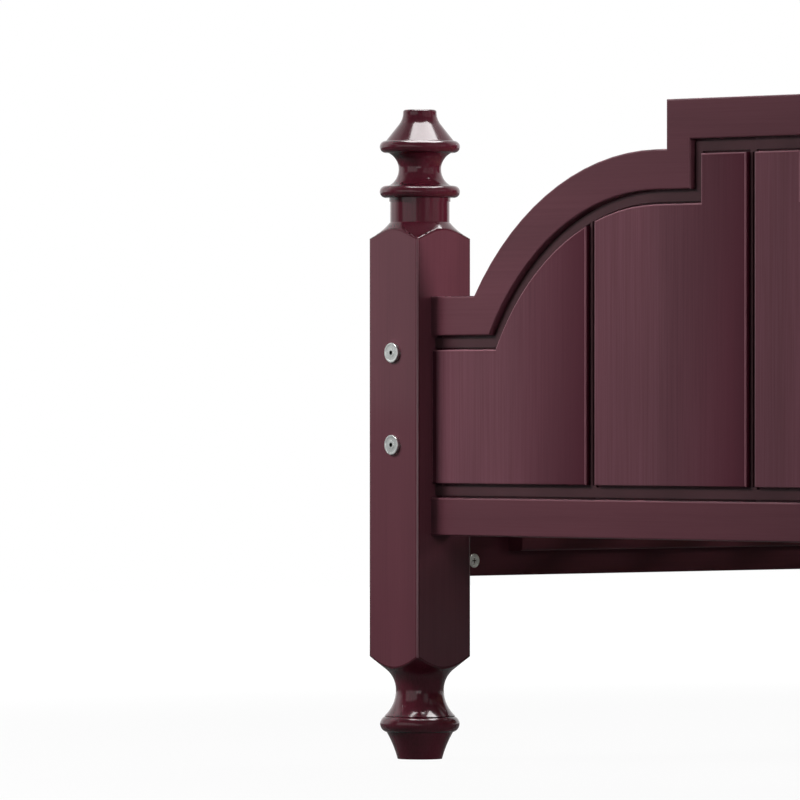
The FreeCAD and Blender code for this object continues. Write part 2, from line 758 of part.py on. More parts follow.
def make_side_rail(side_name, side):
    """A side rail, bored at each end for bolts, barrel nuts, stud and cam, and along it for the cleat."""
    inner = -side
    body = new_body(f"{side_name}_side_rail", POST_X * side)
    inside = RAIL_INNER * inner
    outside = inside - S.side_rail_thickness * inner
    low, high = (inside, outside) if side > 0 else (outside, inside)
    outline = rectangle(low, high, S.side_rail_lift, RAIL_TOP)
    board = pad(body, "Y", -RAIL_HALF_LENGTH, RAIL_HALF_LENGTH * 2, [outline])
    middle = S.side_rail_lift + S.side_rail_height / 2
    ease(body, board, S.side_rail_arris_width,
         lambda p: not near(p.z, middle) and not near(abs(p.y), RAIL_HALF_LENGTH))
    bolt_bore = S.bolt_radius + S.bore_room
    stud_bore = S.stud_radius + S.glue_room
    for way in (1, -1):
        start = RAIL_HALF_LENGTH * -way
        pocket(body, "Y", start, S.bolt_reach + S.overrun,
               [Circle(ZERO, height, bolt_bore) for height in BOLT_HEIGHTS], toward=way)
        pocket(body, "Y", start, S.cam_setback,
               [Circle(CAM_AXIS * inner, CAM_HEIGHT, stud_bore)], toward=way)
        nut_place = start + S.barrel_setback * way
        nut_bore = S.barrel_radius + S.glue_room
        pocket(body, "X", inside, S.barrel_length + S.glue_room * 2,
               [Circle(nut_place, height, nut_bore) for height in BOLT_HEIGHTS], toward=-inner)
        pocket(body, "X", inside, S.cam_depth + S.glue_room * 2,
               [Circle(start + S.cam_setback * way, CAM_HEIGHT, S.cam_radius + S.glue_room)], toward=-inner)
    pocket(body, "X", inside, S.screw_bite + S.glue_room,
           [Circle(place, cleat_screw_height(), SCREW_BORE) for place in CLEAT_SCREW_PLACES], toward=-inner)


def cleat_screw_height():
    """Height of the row of screws through a cleat."""
    return CLEAT_BOTTOM + S.cleat_height / 2


def slat_screw_place():
    """Distance of a slat's screws from the bed's middle."""
    return DECK_HALF_WIDTH - S.cleat_thickness / 2


def make_cleat(side_name, side):
    """A cleat on the inside of a side rail, bored for its own screws and for the slats'."""
    inner = -side
    body = new_body(f"{side_name}_slat_cleat", DECK_HALF_WIDTH * side)
    inside = S.cleat_thickness * inner
    low, high = (inside, ZERO) if side > 0 else (ZERO, inside)
    board = pad(body, "Y", -CLEAT_HALF_LENGTH, CLEAT_HALF_LENGTH * 2,
                [rectangle(low, high, CLEAT_BOTTOM, CLEAT_TOP)])
    ease(body, board, S.slat_arris_width, lambda p: near(p.x, inside) and near(p.z, CLEAT_BOTTOM))
    row = [(place, cleat_screw_height()) for place in CLEAT_SCREW_PLACES]
    pocket(body, "X", inside + S.overrun * inner, S.cleat_thickness + S.overrun * 2,
           [Circle(y, z, SCREW_BORE) for y, z in row], toward=-inner)
    pocket(body, "X", inside, HEAD_SINK, [Circle(y, z, HEAD_BORE) for y, z in row], toward=-inner)
    x = (slat_screw_place() - DECK_HALF_WIDTH) * side
    pocket(body, "Z", CLEAT_TOP, S.screw_bite + S.glue_room,
           [Circle(x, place, SCREW_BORE) for place in SLAT_PLACES], toward=-1)


def make_slat(number, place):
    """A slat with eased long edges and a let-in screw at each end."""
    body = new_body(f"slat_{number:02d}", y=place, z=CLEAT_TOP)
    half_length = DECK_HALF_WIDTH - S.slat_end_room
    half = S.slat_width / 2
    spots = [slat_screw_place() * side for side in SIGNS]
    outline = rectangle(-half, half, ZERO, S.slat_thickness)
    board = pad(body, "X", -half_length, half_length * 2, [outline])
    ease(body, board, S.slat_arris_width, lambda p: near(abs(p.y), half) and near(p.z, S.slat_thickness))
    pocket(body, "Z", -S.overrun, S.slat_thickness + S.overrun * 2,
           [Circle(x, ZERO, SCREW_BORE) for x in spots])
    pocket(body, "Z", S.slat_thickness, HEAD_SINK, [Circle(x, ZERO, HEAD_BORE) for x in spots], toward=-1)


# Centre beam, hangers, legs and glides

def hanger_screws():
    """Places of a hanger's screws across the bottom rail and up it."""
    across = S.beam_width / 2 + S.glue_room + S.hanger_thickness + S.hanger_flange_width / 2
    low = BEAM_BOTTOM - S.hanger_thickness + S.hanger_screw_inset
    high = CLEAT_TOP - S.hanger_screw_inset
    return [(across * side, height) for side in SIGNS for height in (low, high)]


def leg_screws():
    """Places of a leg's two screws across the beam."""
    return [S.leg_width / 4 * side for side in SIGNS]


def make_beam():
    """The beam under the slats, bored for the legs' screws."""
    body = new_body("centre_beam")
    half = S.beam_width / 2
    half_length = POST_Y - PANEL_BACK - S.glue_room
    board = pad(body, "Y", -half_length, half_length * 2, [rectangle(-half, half, BEAM_BOTTOM, CLEAT_TOP)])
    ease(body, board, S.slat_arris_width, lambda p: near(abs(p.x), half) and near(p.z, BEAM_BOTTOM))
    spots = [(x, y) for x in leg_screws() for y in LEG_SPOTS]
    pocket(body, "Z", BEAM_BOTTOM - S.overrun, S.beam_depth + S.overrun * 2,
           [Circle(x, y, SCREW_BORE) for x, y in spots])
    pocket(body, "Z", CLEAT_TOP, HEAD_SINK, [Circle(x, y, HEAD_BORE) for x, y in spots], toward=-1)


def make_hanger(end):
    """A folded steel hanger: seat, two cheeks and two flanges on the bottom rail's back."""
    body = new_body(f"{end.name}_beam_hanger", y=POST_Y * end.sign, turned=end.sign > 0)
    inside = S.beam_width / 2 + S.glue_room
    outside = inside + S.hanger_thickness
    flange = outside + S.hanger_flange_width
    low = BEAM_BOTTOM - S.hanger_thickness
    trough = [
        Corner(-outside, low), Corner(outside, low), Corner(outside, CLEAT_TOP), Corner(inside, CLEAT_TOP),
        Corner(inside, BEAM_BOTTOM), Corner(-inside, BEAM_BOTTOM), Corner(-inside, CLEAT_TOP),
        Corner(-outside, CLEAT_TOP),
    ]
    pad(body, "Y", PANEL_BACK, S.hanger_seat_length, [trough])
    plates = [rectangle(-flange, -inside, low, CLEAT_TOP), rectangle(inside, flange, low, CLEAT_TOP)]
    pad(body, "Y", PANEL_BACK, S.hanger_thickness, plates)
    pocket(body, "Y", PANEL_BACK - S.overrun, S.hanger_thickness + S.overrun * 2,
           [Circle(x, z, SCREW_BORE) for x, z in hanger_screws()])


def make_leg(name, place):
    """A square centre leg, bored above for its screws and below for the insert and the glide's stem."""
    body = new_body(f"centre_leg_{name}", y=place)
    half = S.leg_width / 2
    block = pad(body, "Z", LEG_BOTTOM, BEAM_BOTTOM - LEG_BOTTOM, [rectangle(-half, half, -half, half)])
    ease(body, block, S.leg_arris_width, lambda p: near(abs(p.x), half) and near(abs(p.y), half))
    pocket(body, "Z", BEAM_BOTTOM, S.screw_bite + S.glue_room,
           [Circle(x, ZERO, SCREW_BORE) for x in leg_screws()], toward=-1)
    pocket(body, "Z", LEG_BOTTOM, S.insert_length, [Circle(ZERO, ZERO, S.insert_radius + S.glue_room)])
    stem_room = S.glide_stem_length + S.glide_pad_height + S.glide_travel + S.glide_spare - LEG_BOTTOM
    pocket(body, "Z", LEG_BOTTOM, stem_room, [Circle(ZERO, ZERO, S.glide_stem_radius + S.bore_room)])


def make_glide(name, place):
    """A levelling glide: a rounded pad on the floor and a stem in the leg's insert."""
    body = new_body(f"levelling_glide_{name}", y=place)
    pad_high = S.glide_pad_height
    turn("Revolution", body, [
        Corner(ZERO, ZERO),
        Corner(S.glide_pad_radius - S.glide_rim_radius, ZERO, S.glide_rim_radius, 1),
        Corner(S.glide_pad_radius, S.glide_rim_radius),
        Corner(S.glide_pad_radius, pad_high - S.glide_rim_radius, S.glide_rim_radius, 1),
        Corner(S.glide_pad_radius - S.glide_rim_radius, pad_high),
        Corner(S.glide_stem_radius, pad_high),
        Corner(S.glide_stem_radius, pad_high + S.glide_stem_length),
        Corner(ZERO, pad_high + S.glide_stem_length),
    ])


# Fasteners: one master of each kind, copied to its places

def master_body(name):
    """A body that is only copied into groups."""
    return new_body(f"{name}_master", node=False)


def cylinder_master(name, radius, length):
    """A plain round pin along Z."""
    body = master_body(name)
    pad(body, "Z", ZERO, length, [Circle(ZERO, ZERO, radius)])
    return body


def make_dowels():
    """Dowels between posts and their finials and feet."""
    pin = cylinder_master("dowel", S.dowel_radius, S.dowel_depth * 2)
    upright = FreeCAD.Rotation()
    for name, level in (("finial", None), ("foot", S.foot_height)):
        spots = []
        for end in ENDS:
            joint = level or S.footboard_height + end.rise - S.finial_height
            for side in SIGNS:
                spots.append(Spot(POST_X * side, POST_Y * end.sign, joint - S.dowel_depth, upright))
        group(f"{name}_dowels", pin, spots)


def make_bolts():
    """Flat-headed bolts through the posts into the side rails."""
    body = master_body("bolt")
    rounding = S.bolt_head_rounding
    turn("Revolution", body, [
        Corner(ZERO, S.bolt_head_height),
        Corner(ZERO, -S.post_width - S.bolt_reach),
        Corner(S.bolt_radius, -S.post_width - S.bolt_reach),
        Corner(S.bolt_radius, ZERO),
        Corner(S.bolt_head_radius, ZERO),
        Corner(S.bolt_head_radius, S.bolt_head_height - rounding, rounding, 1),
        Corner(S.bolt_head_radius - rounding, S.bolt_head_height),
    ])
    reach = S.bolt_socket_radius
    half = reach / 2
    rise = leg_of(reach, half)
    hexagon = [
        Corner(reach, ZERO), Corner(half, rise), Corner(-half, rise),
        Corner(-reach, ZERO), Corner(-half, -rise), Corner(half, -rise),
    ]
    pocket(body, "Z", S.bolt_head_height, S.bolt_socket_depth, [hexagon], toward=-1)
    spots = []
    for end in ENDS:
        face = (POST_Y + S.post_width / 2) * end.sign
        for side in SIGNS:
            spots += [Spot(POST_X * side, face, height, aim(0, end.sign, 0)) for height in BOLT_HEIGHTS]
    group("rail_bolts", body, spots)


def make_barrel_nuts():
    """Cross nuts for the bolts, slotted so that they can be turned into line."""
    body = master_body("barrel")
    pad(body, "Z", ZERO, S.barrel_length, [Circle(ZERO, ZERO, S.barrel_radius)])
    slot = rectangle(S.barrel_slot_width / -2, S.barrel_slot_width / 2, -S.barrel_radius, S.barrel_radius)
    pocket(body, "Z", S.barrel_length, S.barrel_slot_depth, [slot], toward=-1)
    bolt_line = S.barrel_length - (RAIL_INNER - S.glue_room)
    pocket(body, "Y", -S.barrel_radius - S.overrun, (S.barrel_radius + S.overrun) * 2,
           [Circle(ZERO, bolt_line, S.bolt_radius + S.glue_room)])
    spots = []
    for side in SIGNS:
        x = (POST_X - RAIL_INNER + S.glue_room + S.barrel_length) * side
        for end in ENDS:
            y = (RAIL_HALF_LENGTH - S.barrel_setback) * end.sign
            spots += [Spot(x, y, height, inward(side)) for height in BOLT_HEIGHTS]
    group("barrel_nuts", body, spots)


def inward(side):
    """The rotation that points a master's Z axis to the bed's middle and keeps its Y axis along the bed."""
    across = FreeCAD.Vector(0, 0, side)
    along = FreeCAD.Vector(0, 1, 0)
    return FreeCAD.Rotation(across, along, FreeCAD.Vector(-side, 0, 0), "ZYX")


def make_cams():
    """Cam locks in the side rails and the studs in the posts that they draw on."""
    cam = master_body("cam")
    pad(cam, "Z", ZERO, S.cam_depth, [Circle(ZERO, ZERO, S.cam_radius)])
    pocket(cam, "Z", S.cam_depth, S.cam_socket_depth, [Circle(ZERO, ZERO, S.cam_socket_radius)], toward=-1)
    pocket(cam, "Y", -S.cam_radius - S.overrun, (S.cam_radius + S.overrun) * 2,
           [Circle(ZERO, S.cam_depth / 2, S.stud_radius + S.glue_room)])
    stud = cylinder_master("stud", S.stud_radius, S.stud_post_depth + S.cam_setback)
    cams, studs = [], []
    for side in SIGNS:
        for end in ENDS:
            x = (POST_X - RAIL_INNER + S.cam_depth) * side
            y = (RAIL_HALF_LENGTH - S.cam_setback) * end.sign
            cams.append(Spot(x, y, CAM_HEIGHT, inward(side)))
            studs.append(Spot((POST_X - CAM_AXIS) * side, y, CAM_HEIGHT, aim(0, end.sign, 0)))
    group("cam_locks", cam, cams)
    group("cam_studs", stud, studs)


def screw_master(name, thickness):
    """A wood screw through a thickness, its head's top at zero and its shank pointing down."""
    body = master_body(name)
    reach = -(thickness + S.screw_bite)
    turn("Revolution", body, [
        Corner(ZERO, ZERO),
        Corner(ZERO, reach),
        Corner(S.screw_radius, reach),
        Corner(S.screw_radius, -S.screw_head_height),
        Corner(S.screw_head_radius, -S.screw_head_height),
        Corner(S.screw_head_radius, ZERO),
    ])
    return body


def make_screws():
    """Screws of the cleats, slats, hangers and legs."""
    upright = FreeCAD.Rotation()
    sink = S.glue_room
    slat = screw_master("slat_screw", S.slat_thickness - sink)
    group("slat_screws", slat, [
        Spot(slat_screw_place() * side, place, DECK_TOP - sink, upright)
        for side in SIGNS for place in SLAT_PLACES])
    cleat = screw_master("cleat_screw", S.cleat_thickness - sink)
    face = DECK_HALF_WIDTH - S.cleat_thickness + sink
    group("cleat_screws", cleat, [
        Spot(face * side, place, cleat_screw_height(), aim(-side, 0, 0))
        for side in SIGNS for place in CLEAT_SCREW_PLACES])
    hanger = screw_master("hanger_screw", S.hanger_thickness + S.screw_head_height)
    plane = POST_Y - PANEL_BACK - S.hanger_thickness - S.screw_head_height
    group("hanger_screws", hanger, [
        Spot(x, plane * end.sign, z, aim(0, -end.sign, 0)) for end in ENDS for x, z in hanger_screws()])
    leg = screw_master("leg_screw", S.beam_depth - sink)
    group("leg_screws", leg, [
        Spot(x, y, CLEAT_TOP - sink, upright) for x in leg_screws() for y in LEG_SPOTS])


def make_inserts():
    """Threaded inserts in the legs for the glides' stems."""
    body = master_body("insert")
    pad(body, "Z", ZERO, S.insert_length,
        [Circle(ZERO, ZERO, S.insert_radius), Circle(ZERO, ZERO, S.glide_stem_radius + S.bore_room)])
    group("leg_inserts", body, [Spot(ZERO, place, LEG_BOTTOM, FreeCAD.Rotation()) for place in LEG_SPOTS])


# The whole bed

def build():
    """Makes every node."""
    for end in ENDS:
        for side in SIDES:
            make_post(end, side, side_sign(side))
            make_finial(end, side, side_sign(side))
            make_foot(end, side, side_sign(side))
        make_top_rail(end)
        make_bottom_rail(end)
        for index in range(len(PLANK_JOINTS) + 1):
            make_plank(end, index)
        make_hanger(end)
    for side in SIDES:
        make_side_rail(side, side_sign(side))
        make_cleat(side, side_sign(side))
    for number, place in enumerate(SLAT_PLACES, 1):
        make_slat(number, place)
    make_beam()
    for name, place in zip(("front", "rear"), LEG_SPOTS):
        make_leg(name, place)
        make_glide(name, place)
    make_dowels()
    make_bolts()
    make_barrel_nuts()
    make_cams()
    make_screws()
    make_inserts()


def check():
    """Stops if an object failed, a cut took nothing away, or a node has no sound solid."""
    DOC.recompute()
    for item in DOC.Objects:
        faults = {"Invalid", "Error"} & set(item.State)
        if faults:
            raise RuntimeError(f"{item.Label}: {faults}")
        if item.TypeId in ("PartDesign::Pocket", "PartDesign::Groove"):
            if item.Shape.Volume > item.BaseFeature.Shape.Volume - TOUCHING:
                owner = item.getParentGeoFeatureGroup()
                raise RuntimeError(f"{item.Name} of {owner.Label} takes nothing away")
    for node in NODES:
        if node.Shape.isNull() or not node.Shape.isValid() or not node.Shape.Solids:
            raise RuntimeError(f"{node.Label}: no sound solid")


def write():
    """Writes one file for each node."""
    os.makedirs("parts", exist_ok=True)
    for node in NODES:
        node.Shape.exportStep(f"parts/{node.Label}.step")
        print(node.Label, len(node.Shape.Solids), round(node.Shape.Volume))


build()
check()
write()
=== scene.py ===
"""Dresses the platform bed: lacquered turnings and panels, bare slats, plated fittings and a white studio."""
import logging
import math
from dataclasses import dataclass, field
from enum import Enum
from typing import Callable, Iterable, Sequence

import bpy
from mathutils import Matrix, Quaternion, Vector


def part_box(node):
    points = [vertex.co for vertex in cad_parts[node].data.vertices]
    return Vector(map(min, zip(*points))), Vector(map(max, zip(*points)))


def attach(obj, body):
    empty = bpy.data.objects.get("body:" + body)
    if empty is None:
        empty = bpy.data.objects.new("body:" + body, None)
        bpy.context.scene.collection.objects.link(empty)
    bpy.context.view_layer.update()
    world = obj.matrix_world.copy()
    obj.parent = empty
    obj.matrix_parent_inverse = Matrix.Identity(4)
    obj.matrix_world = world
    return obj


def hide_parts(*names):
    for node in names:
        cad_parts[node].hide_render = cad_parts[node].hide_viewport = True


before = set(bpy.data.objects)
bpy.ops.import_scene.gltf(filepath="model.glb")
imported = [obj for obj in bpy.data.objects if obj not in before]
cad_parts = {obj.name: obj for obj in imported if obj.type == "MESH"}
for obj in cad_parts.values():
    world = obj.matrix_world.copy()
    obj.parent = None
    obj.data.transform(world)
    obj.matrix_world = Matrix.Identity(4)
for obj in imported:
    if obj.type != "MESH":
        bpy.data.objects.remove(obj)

LOG = logging.getLogger("platform_bed")
MM = 0.001
WELD = 1e-6
TOUCHING = 0.01
SEED_SIZE = 0.001
SMOOTH_ANGLE = math.radians(35)
BOW_STEP = math.radians(4)
LEAST_BOW_STEPS = 4
TURNING_STEPS, PAD_STEPS, BOLT_STEPS, CAM_STEPS, STEM_STEPS, SCREW_STEPS = 96, 64, 48, 40, 32, 20
WAVE_UNIT = math.pi / 10
WOOD_IOR = 1.5
WHITE = "#ffffff"
FRAME_BODY = "frame"
# Face mark for a painted highlight: a paler line along rounded arrises, where light catches them
HIGHLIGHT_MARK = "painted_arris_highlight"
# Face mark for painted shade on the floors of the joints and in drive recesses
SHADE_MARK = "painted_shade"
# A rounding strip gets the painted highlight unless it is nearly square to an axis or faces down
SQUARE_ON = 0.97
FINE_LINE = 0.9
UNDERSIDE = -0.2

Piece, Face, Material = bpy.types.Object, bpy.types.MeshPolygon, bpy.types.Material
Tree, Node, Socket = bpy.types.NodeTree, bpy.types.Node, bpy.types.NodeSocket
Links = dict[str | int, Socket]


def linear(code: str) -> tuple[float, float, float, float]:
    """Turns an sRGB hex colour into linear light.

    Args:
        code: Six hex digits after a hash sign.

    Returns:
        Red, green, blue and a full alpha.
    """
    shares = [int(code[start:start + 2], 16) / 255 for start in (1, 3, 5)]
    light = [share / 12.92 if share <= 0.04045 else ((share + 0.055) / 1.055) ** 2.4 for share in shares]
    return (*light, 1.0)


def add_node(tree: Tree, kind: str, settings: dict | None = None,
             links: Links | None = None) -> Node:
    """Adds a shader node with its settings and links.

    Args:
        tree: Node tree that the node joins.
        kind: Blender's name for the node's type.
        settings: Values by socket, given by name or number, or by property name.
        links: Output sockets by the input socket that they feed.

    Returns:
        The new node.
    """
    node = tree.nodes.new(kind)
    for key, value in (settings or {}).items():
        if isinstance(key, int) or key in node.inputs:
            node.inputs[key].default_value = value
        else:
            setattr(node, key, value)
    for key, source in (links or {}).items():
        tree.links.new(source, node.inputs[key])
    return node


def new_material(name: str) -> tuple[Material, Tree, Node]:
    """Makes an empty node material.

    Args:
        name: Name of the finish.

    Returns:
        The material, its tree and its output node.
    """
    material = bpy.data.materials.new(name)
    material.use_nodes = True
    tree = material.node_tree
    tree.nodes.clear()
    return material, tree, add_node(tree, "ShaderNodeOutputMaterial")


def remap(tree: Tree, value: Socket, low: float, high: float,
          span: tuple[float, float] = (0.0, 1.0), smooth: bool = False) -> Socket:
    """Maps a span of a value to a new range.

    Args:
        tree: Node tree.
        value: The value.
        low: Result at the span's start and before it.
        high: Result at the span's end and after it.
        span: Where the result changes.
        smooth: Whether it changes slowly near both ends.

    Returns:
        The result.
    """
    settings = {"interpolation_type": "SMOOTHSTEP" if smooth else "LINEAR", "From Min": span[0],
                "From Max": span[1], "To Min": low, "To Max": high}
    return add_node(tree, "ShaderNodeMapRange", settings, {"Value": value}).outputs["Result"]


def blend(tree: Tree, share: Socket, under: Socket | str,
          over: str) -> Socket:
    """Lays one colour over another.

    Args:
        tree: Node tree.
        share: How much of the upper colour shows, from 0 to 1.
        under: The lower colour, linked or as an sRGB hex code.
        over: The upper colour's sRGB hex code.

    Returns:
        The mixed colour.
    """
    settings, links = {"data_type": "RGBA", 7: linear(over)}, {0: share}
    if isinstance(under, str):
        settings[6] = linear(under)
    else:
        links[6] = under
    return add_node(tree, "ShaderNodeMix", settings, links).outputs[2]


def marked(tree: Tree, mark: str) -> Socket:
    """Reads a mark on the faces, 0 or 1."""
    return add_node(tree, "ShaderNodeAttribute", {"attribute_name": mark}).outputs["Fac"]


def toned(tree: Tree, colour: Socket,
          share: Socket) -> Socket:
    """Makes a colour lighter or darker by a share."""
    node = add_node(tree, "ShaderNodeVectorMath", {"operation": "SCALE"}, {0: colour, "Scale": share})
    return node.outputs["Vector"]


def combine(tree: Tree, operation: str, first: Socket,
            second: Socket | float) -> Socket:
    """Joins two values by a Math node.

    Args:
        tree: Node tree.
        operation: Blender's name for the sum.
        first: One value.
        second: The other, linked or as a number.

    Returns:
        The result.
    """
    fixed = isinstance(second, float)
    node = add_node(tree, "ShaderNodeMath", {"operation": operation, **({1: second} if fixed else {})},
                    {0: first, **({} if fixed else {1: second})})
    return node.outputs["Value"]


def noise(tree: Tree, place: Socket, scale: Sequence[float], detail: float,
          roughness: float = 0.5, distortion: float = 0.0) -> Socket:
    """Makes stretched noise.

    Args:
        tree: Node tree.
        place: Coordinates.
        scale: Scale along each axis.
        detail: Octaves of finer noise.
        roughness: How much the finer noise counts.
        distortion: How much the noise is warped.

    Returns:
        The noise, about 0 to 1.
    """
    stretched = add_node(tree, "ShaderNodeMapping", {"Scale": scale}, {"Vector": place}).outputs["Vector"]
    settings = {"Scale": 1.0, "Detail": detail, "Roughness": roughness, "Distortion": distortion}
    return add_node(tree, "ShaderNodeTexNoise", settings, {"Vector": stretched}).outputs["Fac"]


def surface(tree: Tree, output: Node, settings: dict, colour: Socket,
            roughness: Socket, relief: tuple[Socket, float, float]) -> None:
    """Ends a material with a shader and a shallow relief.

    Args:
        tree: Node tree.
        output: The material's output.
        settings: The shader's constants.
        colour: Base colour.
        roughness: Roughness.
        relief: Height, strength and depth of the relief, the depth in millimetres.
    """
    height, strength, depth = relief
    bump = add_node(tree, "ShaderNodeBump", {"Strength": strength, "Distance": depth * MM}, {"Height": height})
    shader = add_node(tree, "ShaderNodeBsdfPrincipled", settings,
                      {"Base Color": colour, "Roughness": roughness, "Normal": bump.outputs["Normal"]})
    tree.links.new(shader.outputs["BSDF"], output.inputs["Surface"])


class Grain(Enum):
    """The way that a board's grain runs: across the bed, along it or upright."""

    ACROSS = 0
    ALONG = 1
    UPRIGHT = 2

    def stretch(self, width: float, length: float) -> tuple[float, float, float]:
        """Gives a pattern a size across and along the grain.

        Args:
            width: Size across the grain, in millimetres.
            length: Size along the grain, in millimetres.

        Returns:
            Scale of a Mapping node on Object coordinates.
        """
        scale = [1 / (width * MM)] * 3
        scale[self.value] = 1 / (length * MM)
        return tuple(scale)


@dataclass(frozen=True)
class MerlotLacquer:
    """Hardwood stained wine red under sprayed semi-gloss lacquer.

    The stain gathers in the pores, which gives fine dark streaks along the grain, and the lacquer levels out
    over them, so that reflections are soft and almost unbroken. Real pores are under half a millimetre wide,
    and are drawn wider here so that they show. Painted shade darkens each board towards its right edge, in
    place of a soft reflection that fades across it; painted shade darkens the floors of the joints; and a fine
    paler line painted on the arrises stands for their highlight.
    """

    polish: str = "flat"
    pore: str = "#562c36"
    stain: str = "#663842"
    # Colour of the painted shade towards each board's right edge
    board_shade: str = "#4e1c2b"
    # Colour of the painted highlight on the arrises
    arris_highlight: str = "#764852"
    # Colour of the painted shade on the floors of the joints
    joint_shade: str = "#4e3338"
    slot: str = "lacquered_wood"
    pore_width: float = 1.5
    pore_length: float = 140.0
    drift_width: float = 70.0
    drift_length: float = 420.0
    roughness: tuple[float, float] = (0.30, 0.38)
    specular: float = 0.15
    coat: float = 0.15
    coat_roughness: float = 0.2
    relief: float = 0.05
    relief_depth: float = 0.1
    pore_span: tuple[float, float] = (0.3, 0.62)
    board_shade_span: tuple[float, float] = (0.42, 1.0)
    drift_span: tuple[float, float] = (0.3, 0.7)
    drift_tone: tuple[float, float] = (0.86, 1.1)

    def material(self, grain: Grain, board_pitch: float = 0.0) -> Material:
        """Makes the finish for one way of the grain.

        Args:
            grain: Way of the grain.
            board_pitch: Width of boards that are painted darker towards their right edge as shade, or 0, in
                millimetres.

        Returns:
            The material.
        """
        name = f"merlot_lacquer_{self.polish}_{grain.name.lower()}" + ("_boards" if board_pitch else "")
        material, tree, output = new_material(name)
        place = add_node(tree, "ShaderNodeTexCoord").outputs["Object"]
        pores = noise(tree, place, grain.stretch(self.pore_width, self.pore_length), 5.0, 0.65)
        drift = noise(tree, place, grain.stretch(self.drift_width, self.drift_length), 2.0)
        colour = blend(tree, remap(tree, pores, 0.0, 1.0, self.pore_span), self.pore, self.stain)
        # Painted shade: each board darkens towards its right edge, in place of a reflection fading across it
        if board_pitch:
            saw = add_node(tree, "ShaderNodeTexWave",
                           {"wave_type": "BANDS", "bands_direction": "X", "wave_profile": "SAW",
                            "Scale": WAVE_UNIT / (board_pitch * MM)}, {"Vector": place}).outputs["Fac"]
            colour = blend(tree, remap(tree, saw, 0.0, 1.0, self.board_shade_span), colour, self.board_shade)
        # Painted shade on the marked joint floors
        colour = blend(tree, marked(tree, SHADE_MARK), colour, self.joint_shade)
        colour = toned(tree, colour, remap(tree, drift, *self.drift_tone, self.drift_span))
        # Painted highlight: a paler line on the marked arrises
        colour = blend(tree, marked(tree, HIGHLIGHT_MARK), colour, self.arris_highlight)
        settings = {"IOR": WOOD_IOR, "Specular IOR Level": self.specular, "Coat Weight": self.coat,
                    "Coat Roughness": self.coat_roughness}
        surface(tree, output, settings, colour, remap(tree, pores, *self.roughness[::-1]),
                (pores, self.relief, self.relief_depth))
        return material


@dataclass(frozen=True)
class PlanedPine:
    """Bare planed softwood: pale early wood with darker rings along the grain, and no gloss."""

    pale: str = "#dcbd8c"
    ring: str = "#b98a54"
    ring_width: float = 7.0
    ring_length: float = 600.0
    fibre_width: float = 1.0
    fibre_length: float = 60.0
    ring_span: tuple[float, float] = (0.42, 0.66)
    fleck: tuple[float, float] = (0.86, 1.08)
    roughness: tuple[float, float] = (0.52, 0.7)
    relief: float = 0.2
    relief_depth: float = 0.15
    slot: str = "pine"

    def material(self, grain: Grain) -> Material:
        """Makes the finish for one way of the grain.

        Args:
            grain: Way of the grain.

        Returns:
            The material.
        """
        material, tree, output = new_material(f"planed_pine_{grain.name.lower()}")
        place = add_node(tree, "ShaderNodeTexCoord").outputs["Object"]
        rings = noise(tree, place, grain.stretch(self.ring_width, self.ring_length), 3.0, distortion=0.6)
        fibres = noise(tree, place, grain.stretch(self.fibre_width, self.fibre_length), 4.0)
        colour = blend(tree, remap(tree, rings, 0.0, 1.0, self.ring_span, smooth=True), self.pale, self.ring)
        colour = toned(tree, colour, remap(tree, fibres, *self.fleck))
        surface(tree, output, {"IOR": WOOD_IOR}, colour, remap(tree, fibres, *self.roughness),
                (fibres, self.relief, self.relief_depth))
        return material


@dataclass(frozen=True)
class SpeckledFinish:
    """A finish of one colour with a fine speckle, such as plated steel or moulded plastic.

    Plating over rolled steel has a slightly cloudy brightness; moulded plastic has a fine spark-eroded grit.
    The recesses are painted dark as shade, so that they read as holes.
    """

    name: str
    slot: str
    shade: str
    light: str
    grit: float
    metallic: float
    roughness: tuple[float, float]
    relief: float
    # Colour of the painted shade in the recesses
    recess_shade: str = "#1a1b1c"
    relief_depth: float = 0.05

    def material(self) -> Material:
        """Makes the finish."""
        material, tree, output = new_material(self.name)
        place = add_node(tree, "ShaderNodeTexCoord").outputs["Object"]
        grit = noise(tree, place, [1 / (self.grit * MM)] * 3, 3.0)
        colour = blend(tree, grit, self.shade, self.light)
        # Painted shade in the marked recesses
        colour = blend(tree, marked(tree, SHADE_MARK), colour, self.recess_shade)
        surface(tree, output, {"Metallic": self.metallic}, colour, remap(tree, grit, *self.roughness),
                (grit, self.relief, self.relief_depth))
        return material


ZINC = SpeckledFinish("zinc_plated_steel", "zinc_steel", "#dbe0dd", "#f2f5f3", 1.2, 1.0, (0.22, 0.38), 0.05)
NYLON = SpeckledFinish("moulded_black_nylon", "nylon", "#151516", "#232324", 0.8, 0.0, (0.45, 0.6), 0.2)


@dataclass(frozen=True)
class Stroke:
    """One corner of an outline, in millimetres, and the bow of the line that leaves it.

    The turn is 1 where the bow's centre lies to the left of the way on, and -1 where it lies to the right.
    """

    x: float
    z: float
    radius: float = 0.0
    turn: int = 0

    def point(self, y: float) -> Vector:
        """The corner in metres, at a place along Y in millimetres."""
        return Vector((self.x, y, self.z)) * MM


def arc_radius(rise: float, run: float, sag: float) -> float:
    """Radius of an arc whose chord spans rise and run and whose middle stands off by sag."""
    return ((rise ** 2 + run ** 2) / 4 + sag ** 2) / (2 * sag)


def tangent_arc(away: float, along: float) -> float:
    """Radius of an arc that starts along its tangent and leaves it by away over along."""
    return (away ** 2 + along ** 2) / (2 * away)


def clear_selection() -> None:
    """Leaves nothing selected."""
    if bpy.context.mode != "OBJECT":
        bpy.ops.object.mode_set(mode="OBJECT")
    bpy.ops.object.select_all(action="DESELECT")


def take_up(piece: Piece) -> None:
    """Selects one piece alone and makes it active.

    Args:
        piece: The piece.
    """
    clear_selection()
    piece.select_set(True)
    bpy.context.view_layer.objects.active = piece


